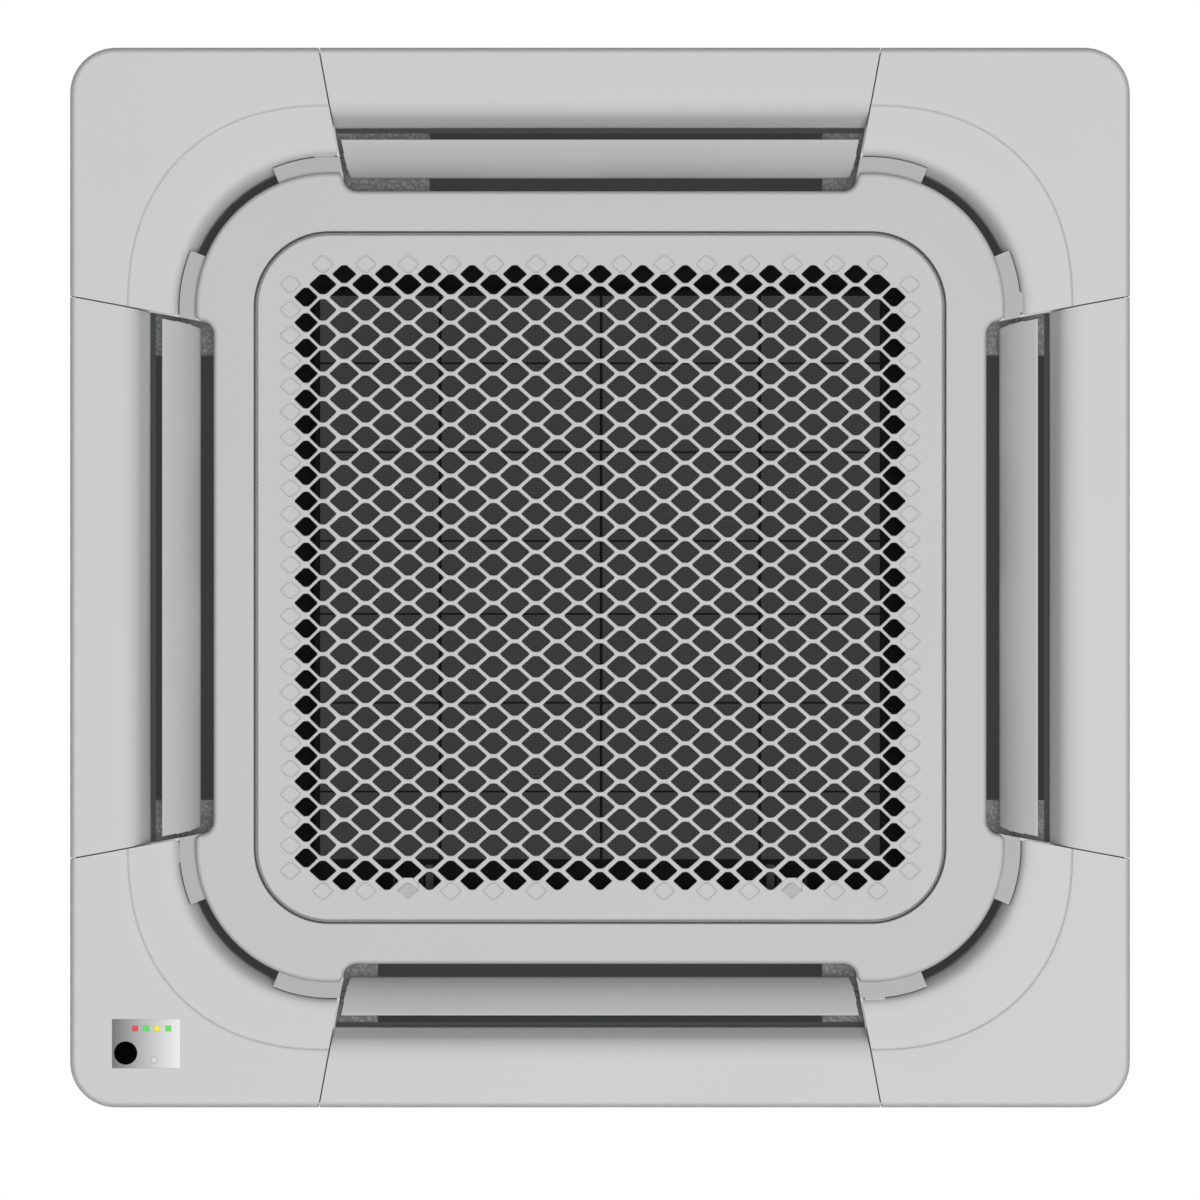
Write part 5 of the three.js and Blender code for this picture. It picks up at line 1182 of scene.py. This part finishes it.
def lattice():
    """All the openings, as (x, y, half width, half height)."""
    columns, rows = centres(CELL_COLUMNS, CELL_X), centres(CELL_ROWS, CELL_Y)
    found = []
    for x in columns:
        for y in rows:
            at_end = abs(y) == rows[-1]
            half_x = OUTER_CELL_HALF_X if at_end or abs(x) == columns[-1] else CELL_HALF_X
            found.append((x, y, half_x, OUTER_CELL_HALF_Y if at_end else CELL_HALF_Y))
    between = [j * CELL_Y for j in range(1 - CELL_ROWS // 2, CELL_ROWS // 2)]
    for i in range(1 - CELL_COLUMNS // 2, CELL_COLUMNS // 2):
        found += [(i * CELL_X, y, CELL_HALF_X, CELL_HALF_Y) for y in between]
        found += [(i * CELL_X, y, *END_CELL_HALVES) for y in (-END_CELL_Y, END_CELL_Y)]
    for y in between:
        found += [(x, y, *SIDE_CELL_HALVES) for x in (-SIDE_CELL_X, SIDE_CELL_X)]
    return found


def bosses():
    """Places of the embossed diamonds: the front's middle is plain, and the latches take two more places."""
    found = []
    for x in centres(CELL_COLUMNS, CELL_X):
        found.append((x, -BOSS_Y))
        if CELL_X < abs(x) and abs(abs(x) - LATCH_AT) > 1:
            found.append((x, BOSS_Y))
    for y in centres(CELL_ROWS, CELL_Y):
        found += [(-BOSS_X, y), (BOSS_X, y)]
    return found


def knob_slot(x):
    """Where a latch's knob is and slides."""
    w, h = KNOB_HALF_X + 0.5, KNOB_HALF_Y + 0.5
    far = LATCH_Y - LATCH_TRAVEL
    return [(x + w, far), (x + w, LATCH_Y), (x, LATCH_Y + h), (x - w, LATCH_Y), (x - w, far), (x, far - h)]


def grille_tray():
    back = DOOR_Z + DOOR_SKIN
    strand = [(1.3, 0.0), (0.62, 0.2), (0.18, 0.65), (0.0, 1.4), (0.0, DOOR_SKIN)]
    groove = [(0.9, 0.0), (0.4, 1.4), (-0.1, 1.4), (-0.5, 0.2)]
    door = lambda inset: rounded_square(DOOR_HALF - inset, DOOR_RADIUS - inset, 24)
    outer = rounded_edge(door, DOOR_Z, DOOR_EDGE, 5)
    outer += [(door(0), DOOR_WALL_TOP), (door(DOOR_WALL), DOOR_WALL_TOP), (door(DOOR_WALL), back)]

    def layers(steps, *opening):
        return [(cell(*opening, grow), DOOR_Z + rise) for grow, rise in steps]

    through = [layers(strand, *opening) for opening in lattice()]
    blind = [layers(groove, x, y, BOSS_HALF_X, BOSS_HALF_Y) for x, y in bosses()]
    return plate(outer, through, blind)


def hinge_cuts(x):
    """Room in the grille's rim for one of the frame's lugs."""
    return box(x - HINGE_LUG, x + HINGE_LUG, -DOOR_HALF - 1, -DOOR_HALF + 3.5, DOOR_Z + 0.8, 0)


def hinge_blocks(x):
    """The grille's hinge pin, between two blocks."""
    y, z = grille_hinge()
    blocks = [rod(HINGE_PIN_RADIUS, x - HINGE_LUG - 1, x + HINGE_LUG + 1, y, z)]
    for side in (-1, 1):
        x0, x1 = sorted((x + side * HINGE_LUG, x + side * (HINGE_LUG + 5)))
        blocks.append(box(x0, x1, -DOOR_HALF + 0.5, y + 2.5, DOOR_Z + 1, z + 1.7))
    return blocks


def latch_guide(x):
    """The two rails and the bridge that hold a latch."""
    near = LATCH_HALF + CLEARANCE
    far = near + GUIDE_WALL
    top = DOOR_Z + DOOR_SKIN + LATCH_SKIN + 2 * CLEARANCE
    return [
        box(x - far, x - near, *GUIDE_SPAN, DOOR_Z + 1, top),
        box(x + near, x + far, *GUIDE_SPAN, DOOR_Z + 1, top),
        box(x - far, x + far, *BRIDGE_SPAN, top - 0.1, top + 1.5),
    ]


def tongue_cut(x):
    """Room in the grille's rim for a latch's tongue."""
    half, z = TONGUE_HALF + 0.5, DOOR_Z + DOOR_SKIN
    return box(x - half, x + half, TONGUE_START, DOOR_HALF + 2, z, z + LATCH_SKIN + 2 * CLEARANCE)


tongues = [tongue_cut(x) for x in (-LATCH_AT, LATCH_AT)]
knob_slots = [prism(knob_slot(x), DOOR_Z - 1, 0) for x in (-LATCH_AT, LATCH_AT)]
tray = cut(grille_tray(), hinge_cuts(-HINGE_AT), hinge_cuts(HINGE_AT), *tongues, *knob_slots)
shown = gathered(tray, *hinge_blocks(-HINGE_AT), *hinge_blocks(HINGE_AT))
grille = gathered(shown, *latch_guide(-LATCH_AT), *latch_guide(LATCH_AT))
door_finish = [GRILLE_WHITE, DARK]
door = piece("intake_grille", "grille", "grille_white", door_finish, grille, "intake_grille", smooth=50)
paint(door, [i >= len(shown.polygons) for i in range(len(grille.polygons))])


def latch(x):
    z = DOOR_Z + DOOR_SKIN + CLEARANCE
    diamond = lambda inset: cell(x, LATCH_Y, KNOB_HALF_X - inset, KNOB_HALF_Y - inset)
    knob = plate(
        [
            *rounded_edge(diamond, DOOR_Z, 0.5, 3),
            (diamond(0), z + 1),
        ],
        blind=[[(diamond(1.6), DOOR_Z), (diamond(2.6), DOOR_Z + 0.5)]],
    )
    half = KNOB_HALF_X + 0.45
    plates = [
        box(x - half, x + half, LATCH_BACK, LATCH_Y + 2, z, z + LATCH_SKIN),
        box(x - LATCH_HALF, x + LATCH_HALF, LATCH_Y + 2.05, LATCH_FRONT, z, z + LATCH_SKIN),
        box(x - TONGUE_HALF, x + TONGUE_HALF, TONGUE_START, DOOR_HALF + 0.2, z, z + LATCH_SKIN),
    ]
    return knob, gathered(*plates)


for name, x in (("latch_left", -LATCH_AT), ("latch_right", LATCH_AT)):
    knob, slide = latch(x)
    whole = gathered(knob, slide)
    made = piece(name, name, "grille_white", [KNOB_GREY, GRILLE_WHITE], whole, name)
    paint(made, [i >= len(knob.polygons) for i in range(len(whole.polygons))])

# ---- air filter


def filter_frame():
    """The rim and the ribs over the netting."""
    verticals = [-FILTER_RIB_X, 1.0, FILTER_RIB_X]
    rows = [FILTER_RIB_Y + k * FILTER_RIB_PITCH for k in range(3)]
    horizontals = sorted([-y for y in rows] + rows)

    def edges(half, bars, width):
        """Where the openings between the rim and its bars start and end."""
        sides = [side for bar in bars for side in (bar - width / 2, bar + width / 2)]
        return [-half + FILTER_RIM, *sides, half - FILTER_RIM]

    xs = edges(FILTER_HALF_X, verticals, FILTER_RIB)
    ys = edges(FILTER_HALF_Y, horizontals, FILTER_SLIM_RIB)
    panes = []
    for i in range(0, len(xs), 2):
        for j in range(0, len(ys), 2):
            panes.append(box(xs[i], xs[i + 1], ys[j], ys[j + 1], -PAST, 0))
    whole = box(-FILTER_HALF_X, FILTER_HALF_X, -FILTER_HALF_Y, FILTER_HALF_Y, FILTER_BOTTOM, FILTER_TOP)
    return cut(whole, *panes)


piece("air_filter_frame", "grille", "netting", FRAME_DARK, filter_frame(), "air_filter")
net_half_x, net_half_y = FILTER_HALF_X - FILTER_RIM + 1, FILTER_HALF_Y - FILTER_RIM + 1
piece(
    "air_filter_net",
    "grille",
    "netting",
    NET,
    box(-net_half_x, net_half_x, -net_half_y, net_half_y, FILTER_BOTTOM + 0.5, FILTER_BOTTOM + 0.9),
)

# ---- casing

SCREW_AT = (-200, 0, 200)
SCREW_INSET = 9


def screw():
    """A pan-head screw with a cross recess, its head towards +Y."""
    rings = ((4.4, -0.2), (4.4, 0.7), (3.8, 1.5), (2.4, 2.0))
    head = loft([[(px, d, pz) for px, pz in circle(0, 0, r, 20)] for r, d in rings])
    return cut(head, box(-0.5, 0.5, 0.9, 3, -2.6, 2.6), box(-2.6, 2.6, 0.9, 3, -0.5, 0.5))


wall_y = high("side_casing", 1)
rows = (low("side_casing", 2) + SCREW_INSET, high("side_casing", 2) - SCREW_INSET)
one_screw = screw()
wall_screws = gathered(*[moved(one_screw, 0, (x, wall_y, z)) for x in SCREW_AT for z in rows])
piece("casing_screws", "unit", "steel", STEEL, gathered(*all_round(wall_screws)))

# ---- finishes of the CAD's own nodes

DRESSED = [  # a finish, how far edges are rounded, and the nodes
    (BOARD, 0, ["display_board", "control_board"]),
    (FOAM, 0, ["panel_seal", "foam_liner"]),
    (PAN, 0, ["drain_pan"]),
    (ZINC, 0, ["side_casing", "top_plate", "coil_plate_inlet", "partition_plate", "control_box"]),
    (ZINC, 0.5, ["motor_mount"]),
    (ZINC, 0.6, [f"hanger_{corner}" for corner in CORNERS]),
    (PALE_GREY, 0, ["pump_impeller", "drain_hose"]),
    (PALE_GREY, 0.3, ["float_guide"]),
    (PALE_GREY, 0.4, [f"louver_motor_{side}" for side in TURNS]),
    (PALE_GREY, 0.5, ["drain_pump"]),
    (DARK, 0, ["bellmouth"]),
    (DARK, 0.3, ["terminal_block"]),
    (DARK, 0.4, ["drain_plug", "float", "control_box_cover"]),
    (DARK, 0.5, ["cable_gland"]),
    (FAN_GREY, 0, ["turbo_fan"]),
    (CAN, 0.8, ["fan_motor"]),
    (STEEL, 0.3, ["motor_shaft"]),
    (STEEL, 0.4, ["fan_nut"]),
    (FINS, 0, ["heat_exchanger"]),
    (COPPER, 0, ["coil_plate_return", "gas_pipe", "liquid_pipe"]),
    (BRASS, 0.5, ["flare_nut_gas", "flare_nut_liquid"]),
]

for finish, bevel, names in DRESSED:
    for name in names:
        node = frame["nodes"][name]
        node.data.materials.clear()
        node.data.materials.append(finish)
        soften(node, 32, bevel)

# ---- camera, light and floor

PHOTO_SIZE = 1200
PHOTO_PANEL = 1062  # the panel's side in the photograph, in pixels
PHOTO_CENTRE_Y = 577.5
LENS_LENGTH = 200
SENSOR = 36
VIEW_WIDTH = 2 * PANEL_HALF * PHOTO_SIZE / PHOTO_PANEL
DISTANCE = VIEW_WIDTH * LENS_LENGTH / SENSOR

camera_data = bpy.data.cameras.new("camera")
camera_data.lens, camera_data.sensor_width = LENS_LENGTH, SENSOR
camera_data.clip_end = 100
camera = bpy.data.objects.new("camera", camera_data)
bpy.context.scene.collection.objects.link(camera)
drop = (PHOTO_SIZE / 2 - PHOTO_CENTRE_Y) / PHOTO_SIZE * VIEW_WIDTH
camera.location = (0, drop * MM, (FACE_Z - DISTANCE) * MM)
camera.rotation_euler = Matrix(((1, 0, 0), (0, -1, 0), (0, 0, -1))).to_euler()
bpy.context.scene.camera = camera


def area_light(name, place, size, power):
    data = bpy.data.lights.new(name, "AREA")
    data.energy, data.size = power, size
    lamp = bpy.data.objects.new(name, data)
    bpy.context.scene.collection.objects.link(lamp)
    lamp.location = place
    lamp.rotation_euler = (-Vector(place)).to_track_quat("-Z", "Y").to_euler()
    lamp.visible_camera = lamp.visible_glossy = False


area_light("key_below", (0.6, 0.6, -6.4), 3.5, 400)
area_light("fill_above", (1.2, -1.8, 6.5), 3.0, 300)
area_light("fill_side", (-5.5, 2.5, 3.5), 3.0, 50)

FLOOR_REACH = 40  # metres, as the lamps' places are
FLOOR_Z = -10
floor_corners = [(FLOOR_REACH * x, FLOOR_REACH * y, FLOOR_Z) for x, y in ((-1, -1), (1, -1), (1, 1), (-1, 1))]
floor = bpy.data.objects.new("floor", solid(floor_corners, [[0, 1, 2, 3]]))
bpy.context.scene.collection.objects.link(floor)
pale = bpy.data.materials.new("floor_pale")
pale.use_nodes = True
pale.node_tree.nodes["Principled BSDF"].inputs["Base Color"].default_value = (0.8, 0.8, 0.8, 1)
floor.data.materials.append(pale)

world = bpy.data.worlds.new("studio")
bpy.context.scene.world = world
world.use_nodes = True
nodes, links = world.node_tree.nodes, world.node_tree.links
background = nodes["Background"]
background.inputs["Color"].default_value = (1, 1, 1, 1)
path = nodes.new("ShaderNodeLightPath")
seen = path.outputs["Is Camera Ray"]
for ray in ("Is Glossy Ray", "Is Transmission Ray"):
    either = nodes.new("ShaderNodeMath")
    either.operation = "MAXIMUM"
    links.new(seen, either.inputs[0])
    links.new(path.outputs[ray], either.inputs[1])
    seen = either.outputs[0]
strength = nodes.new("ShaderNodeMapRange")
links.new(seen, strength.inputs["Value"])
strength.inputs["To Min"].default_value = 0.08
strength.inputs["To Max"].default_value = 1.0
links.new(strength.outputs["Result"], background.inputs["Strength"])

bpy.context.scene.view_settings.view_transform = "Standard"
